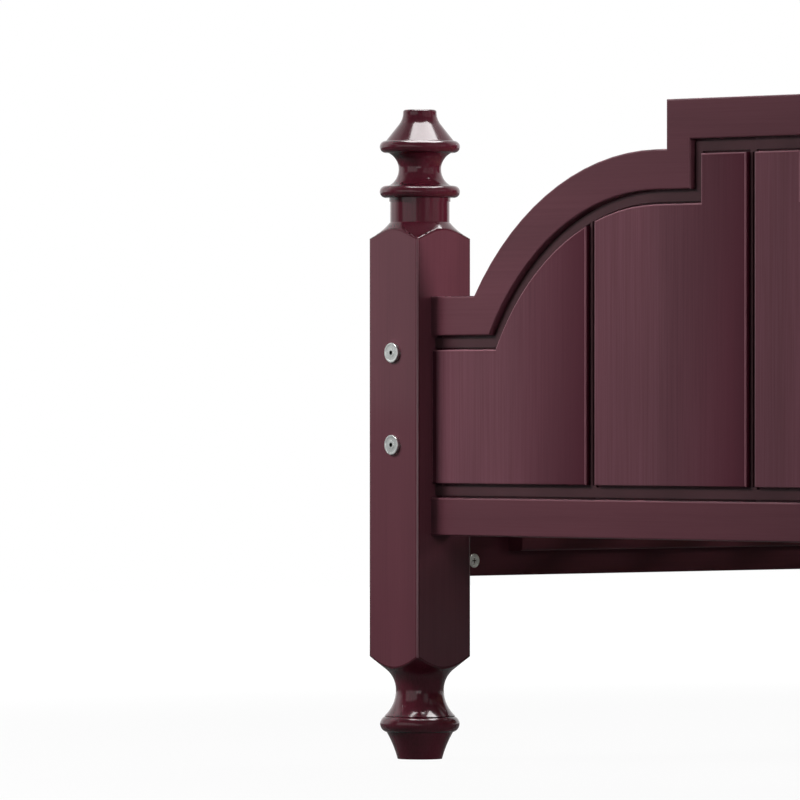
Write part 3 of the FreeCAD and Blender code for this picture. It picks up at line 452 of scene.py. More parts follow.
def trace(name: str, strokes: Sequence[Stroke], y: float = 0.0, closed: bool = True) -> Piece:
    """Draws an outline in an upright plane, line by line, and leaves it selected in edit mode.

    Args:
        name: Name of the new piece.
        strokes: Corners of the outline.
        y: Place of the plane along Y, in millimetres.
        closed: Whether a last line goes back to the first corner.

    Returns:
        The piece that holds the outline.
    """
    clear_selection()
    bpy.ops.mesh.primitive_plane_add(size=SEED_SIZE, location=strokes[0].point(y))
    piece = bpy.context.object
    piece.name = piece.data.name = name
    bpy.ops.object.transform_apply()
    bpy.ops.object.mode_set(mode="EDIT")
    bpy.ops.mesh.select_mode(type="VERT")
    bpy.ops.mesh.select_all(action="SELECT")
    bpy.ops.mesh.merge(type="CENTER")
    targets = [*strokes[1:], strokes[0]] if closed else strokes[1:]
    for here, there in zip(strokes, targets):
        start, finish = here.point(y), there.point(y)
        if not here.radius:
            bpy.ops.mesh.extrude_region_move(TRANSFORM_OT_translate={"value": finish - start})
            continue
        chord = finish - start
        radius = here.radius * MM
        left = Vector((-chord.z, 0, chord.x)).normalized()
        reach = math.sqrt(max(radius ** 2 - (chord.length / 2) ** 2, 0))
        angle = 2 * math.asin(min(chord.length / 2 / radius, 1))
        bpy.ops.mesh.spin(steps=max(LEAST_BOW_STEPS, math.ceil(angle / BOW_STEP)), angle=angle * here.turn,
                          center=(start + finish) / 2 + left * reach * here.turn, axis=(0, 1, 0))
    bpy.ops.mesh.select_all(action="SELECT")
    bpy.ops.mesh.remove_doubles(threshold=WELD)
    return piece


def draw_board(name: str, outline: Sequence[Stroke], start: float, depth: float) -> Piece:
    """Fills an outline in an upright plane and draws it out along Y.

    Args:
        name: Name of the new piece.
        outline: Corners of the outline.
        start: Place of the outline along Y, in millimetres.
        depth: How far it is drawn out along Y.

    Returns:
        The board.
    """
    piece = trace(name, outline, start)
    bpy.ops.mesh.edge_face_add()
    bpy.ops.mesh.extrude_region_move(TRANSFORM_OT_translate={"value": (0, depth * MM, 0)})
    bpy.ops.mesh.select_all(action="SELECT")
    bpy.ops.mesh.normals_make_consistent(inside=False)
    bpy.ops.object.mode_set(mode="OBJECT")
    return piece


def turn(name: str, outline: Sequence[Stroke], steps: int = TURNING_STEPS) -> Piece:
    """Turns an outline once round the Z axis.

    Args:
        name: Name of the new piece.
        outline: Corners of the outline, from the axis and back to it.
        steps: Number of facets round the axis.

    Returns:
        The turning.
    """
    piece = trace(name, outline, closed=False)
    bpy.ops.mesh.spin(steps=steps, angle=2 * math.pi, center=(0, 0, 0), axis=(0, 0, 1))
    bpy.ops.mesh.select_all(action="SELECT")
    bpy.ops.mesh.remove_doubles(threshold=WELD)
    bpy.ops.mesh.normals_make_consistent(inside=False)
    bpy.ops.object.mode_set(mode="OBJECT")
    return piece


def mark_faces(piece: Piece, mark: str, wanted: Callable[[Face], bool]) -> None:
    """Marks some of a piece's faces for painted shade or a painted highlight in its finish.

    Args:
        piece: The piece.
        mark: Name of the mark.
        wanted: Test of a face.
    """
    layers = piece.data.attributes
    layer = layers.get(mark) or layers.new(mark, "FLOAT", "FACE")
    for face in piece.data.polygons:
        if wanted(face):
            layer.data[face.index].value = 1.0


def ease_edges(piece: Piece, width: float, wanted: Callable[[Vector, Vector], bool],
               segments: int = 3, square_on: float = SQUARE_ON) -> None:
    """Rounds some of a piece's edges, and marks the rounding for a painted highlight, but for its underside.

    Args:
        piece: The active piece.
        width: Width of the rounding, in millimetres.
        wanted: Test of an edge by its two ends, in millimetres.
        segments: Number of strips in the rounding.
        square_on: Share of a strip's normal along one axis from which it is left unmarked.
    """
    bpy.ops.object.mode_set(mode="EDIT")
    bpy.ops.mesh.select_mode(type="EDGE")
    bpy.ops.mesh.select_all(action="DESELECT")
    bpy.ops.object.mode_set(mode="OBJECT")
    places = [vertex.co / MM for vertex in piece.data.vertices]
    for edge in piece.data.edges:
        edge.select = wanted(*(places[number] for number in edge.vertices))
    bpy.ops.object.mode_set(mode="EDIT")
    bpy.ops.mesh.bevel(offset=width * MM, offset_type="OFFSET", segments=segments)
    bpy.ops.object.mode_set(mode="OBJECT")
    # Painted highlight on the rounding's strips that face sideways or up
    mark_faces(piece, HIGHLIGHT_MARK, lambda face: face.select and face.normal.z > UNDERSIDE
               and max(map(abs, face.normal)) < square_on)


def apply_boolean(piece: Piece, tool: Piece, operation: str) -> None:
    """Cuts a piece with another, which is then removed.

    Args:
        piece: The piece that stays.
        tool: The piece that cuts.
        operation: Blender's name for the cut.
    """
    take_up(piece)
    modifier = piece.modifiers.new("cut", "BOOLEAN")
    modifier.operation = operation
    modifier.object = tool
    modifier.solver = "EXACT"
    bpy.ops.object.modifier_apply(modifier=modifier.name)
    bpy.data.objects.remove(tool)


def settle(piece: Piece, place: Vector | None = None, half_turn: bool = False) -> None:
    """Puts a piece in its place and shades it, with flat faces kept flat beside rounded edges.

    Args:
        piece: The piece, modelled at the origin.
        place: Where it goes, in metres.
        half_turn: Whether it is turned half round about the Z axis first, for the headboard.
    """
    take_up(piece)
    piece.rotation_euler.z = math.pi * half_turn
    piece.location = place or Vector()
    bpy.ops.object.transform_apply()
    bpy.ops.object.shade_smooth_by_angle(angle=SMOOTH_ANGLE)
    modifier = piece.modifiers.new("even_shading", "WEIGHTED_NORMAL")
    modifier.keep_sharp = True
    bpy.ops.object.modifier_apply(modifier=modifier.name)


def copies(piece: Piece, name: str, places: Iterable[Matrix]) -> Piece:
    """Copies a small fitting to its places and joins the copies in one piece.

    Args:
        piece: The fitting, modelled at the origin; it is removed.
        name: Name of the joined piece.
        places: Where each copy goes.

    Returns:
        The joined piece.
    """
    clear_selection()
    made = []
    for place in places:
        copy = piece.copy()
        copy.data = piece.data.copy()
        bpy.context.collection.objects.link(copy)
        copy.matrix_world = place
        copy.select_set(True)
        made.append(copy)
    bpy.context.view_layer.objects.active = made[0]
    bpy.ops.object.transform_apply()
    bpy.ops.object.join()
    made[0].name = made[0].data.name = name
    bpy.data.objects.remove(piece)
    return made[0]


def fit(piece: Piece, material: Material, slot: str, *nodes: str,
        body: str = FRAME_BODY) -> None:
    """Gives a piece its finish and puts it on its body in place of CAD nodes.

    Args:
        piece: The finished piece.
        material: Its finish.
        slot: The record's slot for that finish; not used.
        nodes: CAD nodes that it stands for.
        body: CAD body that it rides on.
    """
    piece.data.materials.clear()
    piece.data.materials.append(material)
    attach(piece, body)
    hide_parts(*nodes)
    LOG.info("%s: %d faces", piece.name, len(piece.data.polygons))


@dataclass(frozen=True)
class End:
    """One end of the bed, with the rise of its panel over the footboard's, in millimetres."""

    name: str
    rise: float

    @property
    def turned(self) -> bool:
        """Whether this end is a footboard turned half round."""
        return self.name == "headboard"


ENDS = (End("footboard", 0.0), End("headboard", 430.0))
SIDES = ("left", "right")
FOOTBOARD_HEIGHT = 678.0
POST_PLACE = 976.0
PLANKS = 4
SLATS = 13


def stand(node: str) -> Vector:
    """The middle of the floor under an upright CAD node, in metres."""
    low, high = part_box(node)
    return Vector(((low.x + high.x) / 2, (low.y + high.y) / 2, 0))


def turned_ring(low: float, height: float, reach: float, bulge: float) -> list[Stroke]:
    """A turned ring's two corners.

    Args:
        low: Height of its lower corner, in millimetres.
        height: Height of the ring.
        reach: Radius at its middle.
        bulge: How far the middle stands out from the corners.

    Returns:
        The corners, upwards.
    """
    root = reach - bulge
    return [Stroke(root, low, arc_radius(height, 0, bulge), 1), Stroke(root, low + height)]


@dataclass
class TurnedPost:
    """A post with its finial and its foot: a square blank with a turned neck and cove, and two turnings.

    The blank's arrises get a painted highlight, and its turned ends get the finial's and the foot's higher
    polish. A ring's three sizes are its height, its radius and its bulge.
    """

    end: End
    side: str
    lacquer: Material
    polish: Material
    width: float = 76.0
    arris: float = 3.0
    foot_height: float = 45.0
    finial_height: float = 96.0
    neck_radius: float = 31.0
    neck_length: float = 21.5
    cone_length: float = 18.0
    cone_sag: float = 1.5
    cove_height: float = 63.0
    shoulder_radius: float = 35.5
    shoulder_height: float = 48.6
    flare_radius: float = 37.0
    waist_radius: float = 25.0
    waist_height: float = 27.0
    turned_edge: float = 1.6
    skin: float = 0.03
    arris_strips: int = 5
    seat_radius: float = 32.0
    seat_height: float = 4.0
    finial_ring: tuple[float, float, float] = (12.5, 42.0, 6.0)
    finial_cove_height: float = 34.5
    finial_cove_radius: float = 33.0
    finial_waist_radius: float = 22.2
    bell_radius: float = 35.5
    bell_shoulder_radius: float = 22.0
    bell_shoulder_height: float = 17.0
    bell_sag: float = 1.2
    tip_radius: float = 17.5
    tip_rounding: float = 2.5
    foot_radius: float = 23.2
    foot_neck_radius: float = 34.7
    foot_sag: float = 1.0
    foot_ring: tuple[float, float, float] = (17.0, 41.5, 6.5)

    @property
    def name(self) -> str:
        """The start of this post's CAD node names."""
        return f"{self.end.name}_{self.side}"

    @property
    def top(self) -> float:
        """Height of the neck's top, in millimetres."""
        return FOOTBOARD_HEIGHT + self.end.rise - self.finial_height

    def build(self, slot: str) -> None:
        """Models and dresses the post, its finial and its foot.

        Args:
            slot: The record's slot for the lacquer.
        """
        models = (("post", self.model_post, self.lacquer), ("finial", self.model_finial, self.polish),
                  ("foot", self.model_foot, self.polish))
        for part, model, finish in models:
            node = f"{self.name}_{part}"
            piece = model(f"lacquered_{node}")
            settle(piece, stand(node))
            fit(piece, finish, slot, node)
            if part == "post":
                self.polish_turnings(piece, stand(node))

    def on_blank(self, place: Vector) -> bool:
        """Tells whether a place lies on the square blank's flats or arrises.

        Args:
            place: The place, in millimetres from the post's axis.

        Returns:
            Whether it lies there.
        """
        core = self.width / 2 - self.arris
        reach = math.hypot(max(abs(place.x) - core, 0), max(abs(place.y) - core, 0))
        return abs(reach - self.arris) < self.skin

    def polish_turnings(self, post: Piece, axis: Vector) -> None:
        """Gives the post's neck, cone and cove the turned pieces' finish.

        Args:
            post: The dressed post.
            axis: Foot of its axis, in metres.
        """
        post.data.materials.append(self.polish)
        for face in post.data.polygons:
            face.material_index = 0 if self.on_blank((face.center - axis) / MM) else 1

    def model_post(self, name: str) -> Piece:
        """Models the square blank and takes its neck and cove from a turned shape.

        Args:
            name: Name of the new piece.

        Returns:
            The post on the Z axis.
        """
        low, half = self.foot_height, self.width / 2
        clear_selection()
        bpy.ops.mesh.primitive_cube_add(size=1, location=(0, 0, (low + self.top) / 2 * MM))
        blank = bpy.context.object
        blank.name = blank.data.name = name
        blank.dimensions = Vector((self.width, self.width, self.top - low)) * MM
        bpy.ops.object.transform_apply()
        # The arrises' middle strips get the painted highlight
        ease_edges(blank, self.arris, lambda a, b: abs(a.z - b.z) > half, self.arris_strips, FINE_LINE)
        corner = half * math.sqrt(2)
        cone_top = self.top - self.neck_length
        lower = tangent_arc(self.flare_radius - self.waist_radius, self.waist_height)
        upper = tangent_arc(self.shoulder_radius - self.waist_radius, self.shoulder_height - self.waist_height)
        hollow = arc_radius(self.cone_length, corner - self.neck_radius, self.cone_sag)
        turned = turn(f"{name}_turning", [
            Stroke(0, low),
            Stroke(self.flare_radius, low, lower, -1),
            Stroke(self.waist_radius, low + self.waist_height, upper, -1),
            Stroke(self.shoulder_radius, low + self.shoulder_height),
            Stroke(corner, low + self.cove_height),
            Stroke(corner, cone_top - self.cone_length, hollow, -1),
            Stroke(self.neck_radius, cone_top),
            Stroke(self.neck_radius, self.top),
            Stroke(0, self.top),
        ])
        apply_boolean(blank, turned, "INTERSECT")
        ease_edges(blank, self.turned_edge, self.on_turned_edge, square_on=0.0)
        return blank

    def on_turned_edge(self, a: Vector, b: Vector) -> bool:
        """Tells whether an edge lies where a flat of the blank meets a turned end.

        Args:
            a: One end of the edge, in millimetres.
            b: Its other end.

        Returns:
            Whether both ends lie on the blank's flats and close to each other in height.
        """
        return self.on_blank(a) and self.on_blank(b) and abs(a.z - b.z) < self.arris * 2

    def model_finial(self, name: str) -> Piece:
        """Turns the finial: seat, ring, waist, ring and bell.

        Args:
            name: Name of the new piece.

        Returns:
            The finial on the Z axis.
        """
        ring = self.finial_ring[0]
        cove_low = self.seat_height + ring
        cove_high = cove_low + self.finial_cove_height
        half_cove = self.finial_cove_height / 2
        bell_low = cove_high + ring
        hollow = tangent_arc(self.finial_cove_radius - self.finial_waist_radius, half_cove)
        bell_shoulder = bell_low + self.bell_shoulder_height
        tip_low = self.finial_height - self.tip_rounding
        bell = arc_radius(tip_low - bell_shoulder, self.bell_shoulder_radius - self.tip_radius, self.bell_sag)
        strokes = [
            Stroke(0, 0), Stroke(self.seat_radius, 0), Stroke(self.seat_radius, self.seat_height),
            *turned_ring(self.seat_height, *self.finial_ring),
            Stroke(self.finial_cove_radius, cove_low, hollow, -1),
            Stroke(self.finial_waist_radius, cove_low + half_cove, hollow, -1),
            Stroke(self.finial_cove_radius, cove_high),
            *turned_ring(cove_high, *self.finial_ring),
            Stroke(self.bell_radius, bell_low), Stroke(self.bell_shoulder_radius, bell_shoulder, bell, -1),
            Stroke(self.tip_radius, tip_low, self.tip_rounding, 1),
            Stroke(self.tip_radius - self.tip_rounding, self.finial_height), Stroke(0, self.finial_height),
        ]
        return turn(name, [Stroke(item.x, item.z + self.top, item.radius, item.turn) for item in strokes])

    def model_foot(self, name: str) -> Piece:
        """Turns the tapered foot with its ring.

        Args:
            name: Name of the new piece.

        Returns:
            The foot on the Z axis.
        """
        ring_low = self.foot_height - self.foot_ring[0]
        taper = arc_radius(ring_low, self.foot_neck_radius - self.foot_radius, self.foot_sag)
        return turn(name, [
            Stroke(0, 0), Stroke(self.foot_radius, 0, taper, -1), Stroke(self.foot_neck_radius, ring_low),
            *turned_ring(ring_low, *self.foot_ring), Stroke(0, self.foot_height),
        ])


@dataclass
class ArchPanel:
    """One end's panel: a stepped-arch top rail, a straight bottom rail and planks with open joints.

    The floors of the joints are painted darker as shade, and the rails' and planks' front edges get a painted
    highlight.
    """

    end: End
    rail_lacquer: Material
    plank_lacquer: Material
    half_width: float = 469.0
    front: float = -19.0
    rail_thickness: float = 30.0
    rail_arris: float = 2.0
    rail_width: float = 41.0
    leg_width: float = 34.5
    step_half_width: float = 119.0
    step_height: float = 50.0
    arch_flat: float = 16.0
    shoulder_length: float = 64.7
    shoulder_drop: float = 195.5
    bottom_low: float = 234.0
    bottom_width: float = 39.5
    pitch: float = 231.0
    plank_gap: float = 13.0
    rail_gap: float = 14.5
    plank_setback: float = 1.0
    face_thickness: float = 5.0
    lip_thickness: float = 13.0
    plank_arris: float = 1.5
    lip_depth: float = 9.5
    kerf_width: float = 2.2
    kerf_depth: float = 3.0
    seam_inset: float = 5.5
    hairline: float = 0.1
    room: float = 0.15

    @property
    def top(self) -> float:
        """Height of the arch's top, in millimetres."""
        return FOOTBOARD_HEIGHT + self.end.rise

    @property
    def arch_centre(self) -> float:
        """Distance of the arch's centres from the middle."""
        return self.step_half_width + self.arch_flat

    @property
    def arch_radius(self) -> float:
        """Radius of the arch's outer edge."""
        run = self.half_width - self.shoulder_length - self.arch_centre
        return tangent_arc(self.shoulder_drop - self.step_height, run)

    def arch(self, drop: float, leg: float, half_width: float) -> list[Stroke]:
        """The arch's line from the left post to the right one.

        Args:
            drop: How far the line lies inside the outer edge.
            leg: How far it lies inside the step's sides.
            half_width: Where it ends on both sides.

        Returns:
            Corners from left to right.
        """
        radius = self.arch_radius - drop
        centre_height = self.top - self.step_height - self.arch_radius
        shoulder = self.top - self.shoulder_drop - drop
        start = self.arch_centre + math.sqrt(radius ** 2 - (shoulder - centre_height) ** 2)
        flat = self.top - self.step_height - drop
        step = self.step_half_width - leg
        return [
            Stroke(-half_width, shoulder), Stroke(-start, shoulder, radius, -1),
            Stroke(-self.arch_centre, flat), Stroke(-step, flat), Stroke(-step, self.top - drop),
            Stroke(step, self.top - drop), Stroke(step, flat), Stroke(self.arch_centre, flat, radius, -1),
            Stroke(start, shoulder), Stroke(half_width, shoulder),
        ]

    def build(self, slot: str) -> None:
        """Models and dresses the rails and the planks.

        Args:
            slot: The record's slot for the lacquer.
        """
        place = Vector((0, POST_PLACE * MM * (1 if self.end.turned else -1), 0))
        rails = (("top_rail", self.model_top_rail), ("bottom_rail", self.model_bottom_rail))
        for part, model in rails:
            piece = model(f"lacquered_{self.end.name}_{part}")
            settle(piece, place, self.end.turned)
            fit(piece, self.rail_lacquer, slot, f"{self.end.name}_{part}")
        for index in range(PLANKS):
            node = f"{self.end.name}_plank_{PLANKS - index if self.end.turned else index + 1}"
            piece = self.model_plank(f"lacquered_{node}", index)
            settle(piece, place, self.end.turned)
            fit(piece, self.plank_lacquer, slot, node)

    def on_front(self, front: float) -> Callable[[Vector, Vector], bool]:
        """A test for edges that lie on a front face, but for a rail's ends at the posts.

        Args:
            front: Place of the face along Y.

        Returns:
            The test.
        """
        def wanted(a: Vector, b: Vector) -> bool:
            """Whether both ends lie on the face and the edge isn't at a post."""
            level = abs(a.y - front) < TOUCHING and abs(b.y - front) < TOUCHING
            at_post = abs(abs(a.x) - self.half_width) < TOUCHING and abs(a.x - b.x) < TOUCHING
            return level and not at_post
        return wanted

    def model_top_rail(self, name: str) -> Piece:
        """Draws the stepped arch and rounds its front edges.

        Args:
            name: Name of the new piece.

        Returns:
            The rail, with the posts' line at the origin.
        """
        outer = self.arch(0, 0, self.half_width)
        inner = self.arch(self.rail_width, self.leg_width, self.half_width)
        bows = [(item.radius, -item.turn) for item in inner[:-1]][::-1] + [(0.0, 0)]
        back = [Stroke(item.x, item.z, radius, turn) for item, (radius, turn) in zip(inner[::-1], bows)]
        piece = draw_board(name, outer + back, self.front, self.rail_thickness)
        ease_edges(piece, self.rail_arris, self.on_front(self.front))
        return piece

    def model_bottom_rail(self, name: str) -> Piece:
        """Draws the straight rail and rounds its front edges.

        Args:
            name: Name of the new piece.

        Returns:
            The rail, with the posts' line at the origin.
        """
        high = self.bottom_low + self.bottom_width
        piece = draw_board(name, [
            Stroke(-self.half_width, self.bottom_low), Stroke(self.half_width, self.bottom_low),
            Stroke(self.half_width, high), Stroke(-self.half_width, high),
        ], self.front, self.rail_thickness)
        ease_edges(piece, self.rail_arris, self.on_front(self.front))
        return piece

    def plank_outline(self, index: int, drop: float, leg: float, left: float, right: float,
                      low: float) -> list[Stroke]:
        """One layer of a plank: upright edges, a level bottom and its stretch of the arch as its top.

        Args:
            index: Number of the plank from the left, from 0.
            drop: How far its top lies inside the arch's outer edge.
            leg: How far it lies inside the step's sides.
            left: Its left edge.
            right: Its right edge.
            low: Its bottom.

        Returns:
            Corners of the layer.
        """
        arch = self.arch(drop, leg, max(-left, right))
        radius = self.arch_radius - drop
        centre_height = self.top - self.step_height - self.arch_radius

        def height(x: float) -> float:
            """Height of the arch's bow at a place."""
            return centre_height + math.sqrt(max(radius ** 2 - (abs(x) - self.arch_centre) ** 2, 0))

        tops = (
            [Stroke(left, arch[0].z), arch[1], Stroke(right, height(right))],
            [Stroke(left, height(left), radius, -1), arch[2], arch[3], arch[4], Stroke(right, arch[4].z)],
            [Stroke(left, arch[5].z), arch[5], arch[6], arch[7], Stroke(right, height(right))],
            [Stroke(left, height(left), radius, -1), arch[8], Stroke(right, arch[9].z)],
        )
        return [Stroke(left, low), *tops[index], Stroke(right, low)]

    def model_plank(self, name: str, index: int) -> Piece:
        """Models a plank's back board, the fillet in its joints between two saw kerfs, and its raised face.

        Args:
            name: Name of the new piece.
            index: Number of the plank from the left, from 0.

        Returns:
            The plank, with the posts' line at the origin.
        """
        joints = (-self.pitch, 0.0, self.pitch)
        half_gap, room, kerf = self.plank_gap / 2, self.room, self.kerf_width
        face_left = room - self.half_width
        lip_left = fillet_left = -self.half_width - self.lip_depth
        if index > 0:
            face_left = lip_left = joints[index - 1] + half_gap
            fillet_left = face_left - self.seam_inset
        face_right = self.half_width - room
        lip_right = fillet_right = self.half_width + self.lip_depth
        jointed = index < len(joints)
        if jointed:
            face_right, lip_right = joints[index] - half_gap, joints[index] + half_gap - room
            fillet_right = joints[index] + half_gap - self.seam_inset - self.hairline
        rail_top = self.bottom_low + self.bottom_width
        low = rail_top + self.rail_gap
        drop, leg = self.rail_width + self.rail_gap, self.leg_width + self.rail_gap
        front = self.front + self.plank_setback
        floor = front + self.face_thickness
        base = floor + self.kerf_depth
        cut_start, cut_depth = floor - kerf, self.kerf_depth + 2 * kerf
        board = draw_board(name, self.plank_outline(
            index, self.rail_width - self.lip_depth, self.leg_width - self.lip_depth,
            lip_left, lip_right, rail_top - self.lip_depth), base, self.lip_thickness - self.kerf_depth)
        fillet = draw_board(f"{name}_fillet", self.plank_outline(
            index, self.rail_width + kerf, self.leg_width + kerf, fillet_left, fillet_right, rail_top + kerf),
            floor, self.kerf_depth)
        window = draw_board(f"{name}_window", self.plank_outline(
            index, drop - kerf, leg - kerf, face_left - kerf, face_right + kerf, low - kerf),
            cut_start, cut_depth)
        apply_boolean(fillet, window, "DIFFERENCE")
        if jointed:
            beside = self.plank_outline(index + 1, drop, leg, joints[index] + half_gap, self.half_width, low)
            high, near, far = beside[1].z, fillet_right - kerf, fillet_right + kerf
            slot = draw_board(f"{name}_slot", [
                Stroke(near, low), Stroke(near, high), Stroke(far, high), Stroke(far, low),
            ], cut_start, cut_depth)
            apply_boolean(fillet, slot, "DIFFERENCE")
        # Painted shade over the whole fillet, the floor of the joints
        mark_faces(fillet, SHADE_MARK, lambda _: True)
        face = draw_board(f"{name}_face", self.plank_outline(
            index, drop, leg, face_left, face_right, low), base, front - base)
        ease_edges(face, self.plank_arris, self.on_front(front))
        clear_selection()
        for layer in (board, fillet, face):
            layer.select_set(True)
        bpy.context.view_layer.objects.active = board
        bpy.ops.object.join()
        return board


class Drive(Enum):
    """The recess that turns a fitting."""

    HEXAGON = "hexagon"
    CROSS = "cross"


DRIVE_TAPER = 0.7
CROSS_BLADE = 0.42
FACING_DOWN = -0.5
RECESS_TOP = 0.05
RECESS_FLOOR = 1.1


def cut_drive(piece: Piece, drive: Drive, reach: float, depth: float, top: float) -> None:
    """Cuts a drive recess in the top of a turned fitting and marks its faces for painted shade.

    Args:
        piece: The fitting on the Z axis.
        drive: Kind of recess.
        reach: Its radius, in millimetres.
        depth: Its depth.
        top: Height of the fitting's top.
    """
    turns = (0.0,) if drive is Drive.HEXAGON else (0.0, math.pi / 2)
    for angle in turns:
        clear_selection()
        place = Vector((0, 0, top)) * MM
        if drive is Drive.HEXAGON:
            bpy.ops.mesh.primitive_cylinder_add(vertices=6, radius=reach * MM, depth=2 * depth * MM,
                                                location=place)
        else:
            bpy.ops.mesh.primitive_cube_add(size=1, location=place, rotation=(0, 0, angle))
            bpy.context.object.dimensions = Vector((2 * reach, reach * CROSS_BLADE, 2 * depth)) * MM
        tool = bpy.context.object
        bpy.ops.object.transform_apply()
        bpy.ops.object.mode_set(mode="EDIT")
        bpy.ops.mesh.select_all(action="DESELECT")
        bpy.ops.object.mode_set(mode="OBJECT")
        for face in tool.data.polygons:
            face.select = face.normal.z < FACING_DOWN
        bpy.ops.object.mode_set(mode="EDIT")
        bpy.ops.mesh.select_mode(type="FACE")
        bpy.ops.transform.resize(value=(DRIVE_TAPER, DRIVE_TAPER, 1), center_override=place)
        bpy.ops.object.mode_set(mode="OBJECT")
        apply_boolean(piece, tool, "DIFFERENCE")

    def in_recess(face: Face) -> bool:
        """Tells whether a face lies in the recess."""
        place = face.center / MM
        return place.xy.length < reach and RECESS_TOP * depth < top - place.z < RECESS_FLOOR * depth

    # Painted shade on the recess's faces
    mark_faces(piece, SHADE_MARK, in_recess)


def facing(place: Vector, way: Vector) -> Matrix:
    """A placement that points a fitting's top along a way.

    Args:
        place: Where the fitting's origin goes, in millimetres.
        way: Direction of its top.

    Returns:
        The placement.
    """
    return Matrix.Translation(place * MM) @ way.to_track_quat("Z", "Y").to_matrix().to_4x4()


@dataclass
class Fittings:
    """Bolts, cam locks and screws, each modelled once and copied to its places."""

    zinc: Material
    post_x: float = 507.0
    post_y: float = POST_PLACE
    post_half: float = 38.0
    bolt_heights: tuple[float, float] = (328.0, 424.0)
    bolt_radius: float = 10.3
    bolt_head: float = 3.0
    bolt_rim: float = 0.4
    bolt_shank: float = 4.0
    bolt_bite: float = 42.0
    bolt_drive: tuple[float, float] = (2.9, 3.0)
    dish_radii: tuple[float, float, float, float] = (8.6, 7.9, 4.6, 4.1)
    dish_depth: float = 0.3
    dish_bow: float = 0.8
    cam_height: float = 206.0
    cam_setback: float = 32.0
    cam_radius: float = 7.5
    cam_length: float = 13.0
    cam_rim: float = 0.6
    cam_groove: tuple[float, float, float, float] = (5.9, 5.5, 4.8, 4.4)
    cam_sink: float = 1.0
    cam_inside: float = 0.2
    cam_drive: tuple[float, float] = (3.2, 2.4)
    rail_inner: float = 498.5
    rail_half_length: float = 938.0
    screw_radius: float = 4.2
    screw_head: float = 2.0
    screw_rim: float = 0.3
    screw_shank: float = 2.0
    screw_bite: float = 15.0
    screw_drive: tuple[float, float] = (2.3, 1.3)
    screw_sink: float = 0.15
    slat_pitch: float = 137.0
    slat_count: int = SLATS
    slat_screw_x: float = 487.5
    cleat_reach: float = 753.5
    cleat_count: int = 7
    cleat_width: float = 22.0
    cleat_screw_height: float = 240.0
    hanger_grip: float = 4.0
    hanger_face: float = 961.0
    hanger_screw_x: float = 42.15
    hanger_screw_heights: tuple[float, float] = (246.0, 256.0)
    leg_screw_x: float = 11.0
    leg_y: float = 320.0
    beam_height: float = 24.0
    deck_top: float = 282.0
    cleat_top: float = 264.0

    def build(self) -> None:
        """Models and dresses every fitting that shows."""
        made = {
            "rail_bolts": copies(self.model_bolt(), "flat_rail_bolts", self.bolt_places()),
            "cam_locks": copies(self.model_cam(), "cross_cam_locks", self.cam_places()),
        }
        for node, thickness, places in self.screw_runs():
            made[node] = copies(self.model_screw(thickness), f"cross_{node}", places)
        for node, piece in made.items():
            settle(piece)
            fit(piece, self.zinc, ZINC.slot, node)

    def model_bolt(self) -> Piece:
        """A bolt with a flat disc head, a rounded rim, a shallow dish and a hexagon socket."""
        length, top, rim = 2 * self.post_half + self.bolt_bite, self.bolt_head, self.bolt_rim
        radius, shank, floor, bow = self.bolt_radius, self.bolt_shank, top - self.dish_depth, self.dish_bow
        outer, outer_floor, inner_floor, inner = self.dish_radii
        piece = turn("bolt", [
            Stroke(0, -length), Stroke(shank, -length), Stroke(shank, 0), Stroke(radius, 0),
            Stroke(radius, top - rim, rim, 1), Stroke(radius - rim, top), Stroke(outer, top, bow, -1),
            Stroke(outer_floor, floor), Stroke(inner_floor, floor, bow, -1), Stroke(inner, top), Stroke(0, top),
        ], BOLT_STEPS)
        cut_drive(piece, Drive.HEXAGON, *self.bolt_drive, top)
        return piece

    def bolt_places(self) -> list[Matrix]:
        """Places of the bolts' heads on the posts' outer faces."""
        return [facing(Vector((x, (self.post_y + self.post_half) * way, z)), Vector((0, way, 0)))
                for way in (-1, 1) for x in (-self.post_x, self.post_x) for z in self.bolt_heights]

    def model_cam(self) -> Piece:
        """A cast cam lock with a rounded rim, a ring groove and a cross recess."""
        radius, rim, low, inside = self.cam_radius, self.cam_rim, -self.cam_length, -self.cam_inside
        piece = turn("cam", [
            Stroke(0, low), Stroke(radius, low), Stroke(radius, -rim, rim, 1), Stroke(radius - rim, 0),
            *(Stroke(x, z) for x, z in zip(self.cam_groove, (0.0, -self.cam_sink, -self.cam_sink, inside))),
            Stroke(0, inside),
        ], CAM_STEPS)
        cut_drive(piece, Drive.CROSS, *self.cam_drive, inside)
        return piece

    def cam_places(self) -> list[Matrix]:
        """Places of the cam locks on the side rails' inner faces."""
        y = self.rail_half_length - self.cam_setback
        return [facing(Vector((self.rail_inner * side, y * way, self.cam_height)), Vector((-side, 0, 0)))
                for side in (-1, 1) for way in (-1, 1)]

    def model_screw(self, thickness: float) -> Piece:
        """A wood screw with a flat cross-recessed head.

        Args:
            thickness: Thickness that it goes through, in millimetres.

        Returns:
            The screw, its head's top at the origin.
        """
        reach, under = -thickness - self.screw_bite, -self.screw_head
        head, shank, rim = self.screw_radius, self.screw_shank, self.screw_rim
        piece = turn("screw", [
            Stroke(0, reach), Stroke(shank, reach), Stroke(shank, under), Stroke(head, under),
            Stroke(head, -rim, rim, 1), Stroke(head - rim, 0), Stroke(0, 0),
        ], SCREW_STEPS)
        cut_drive(piece, Drive.CROSS, *self.screw_drive, 0.0)
        return piece

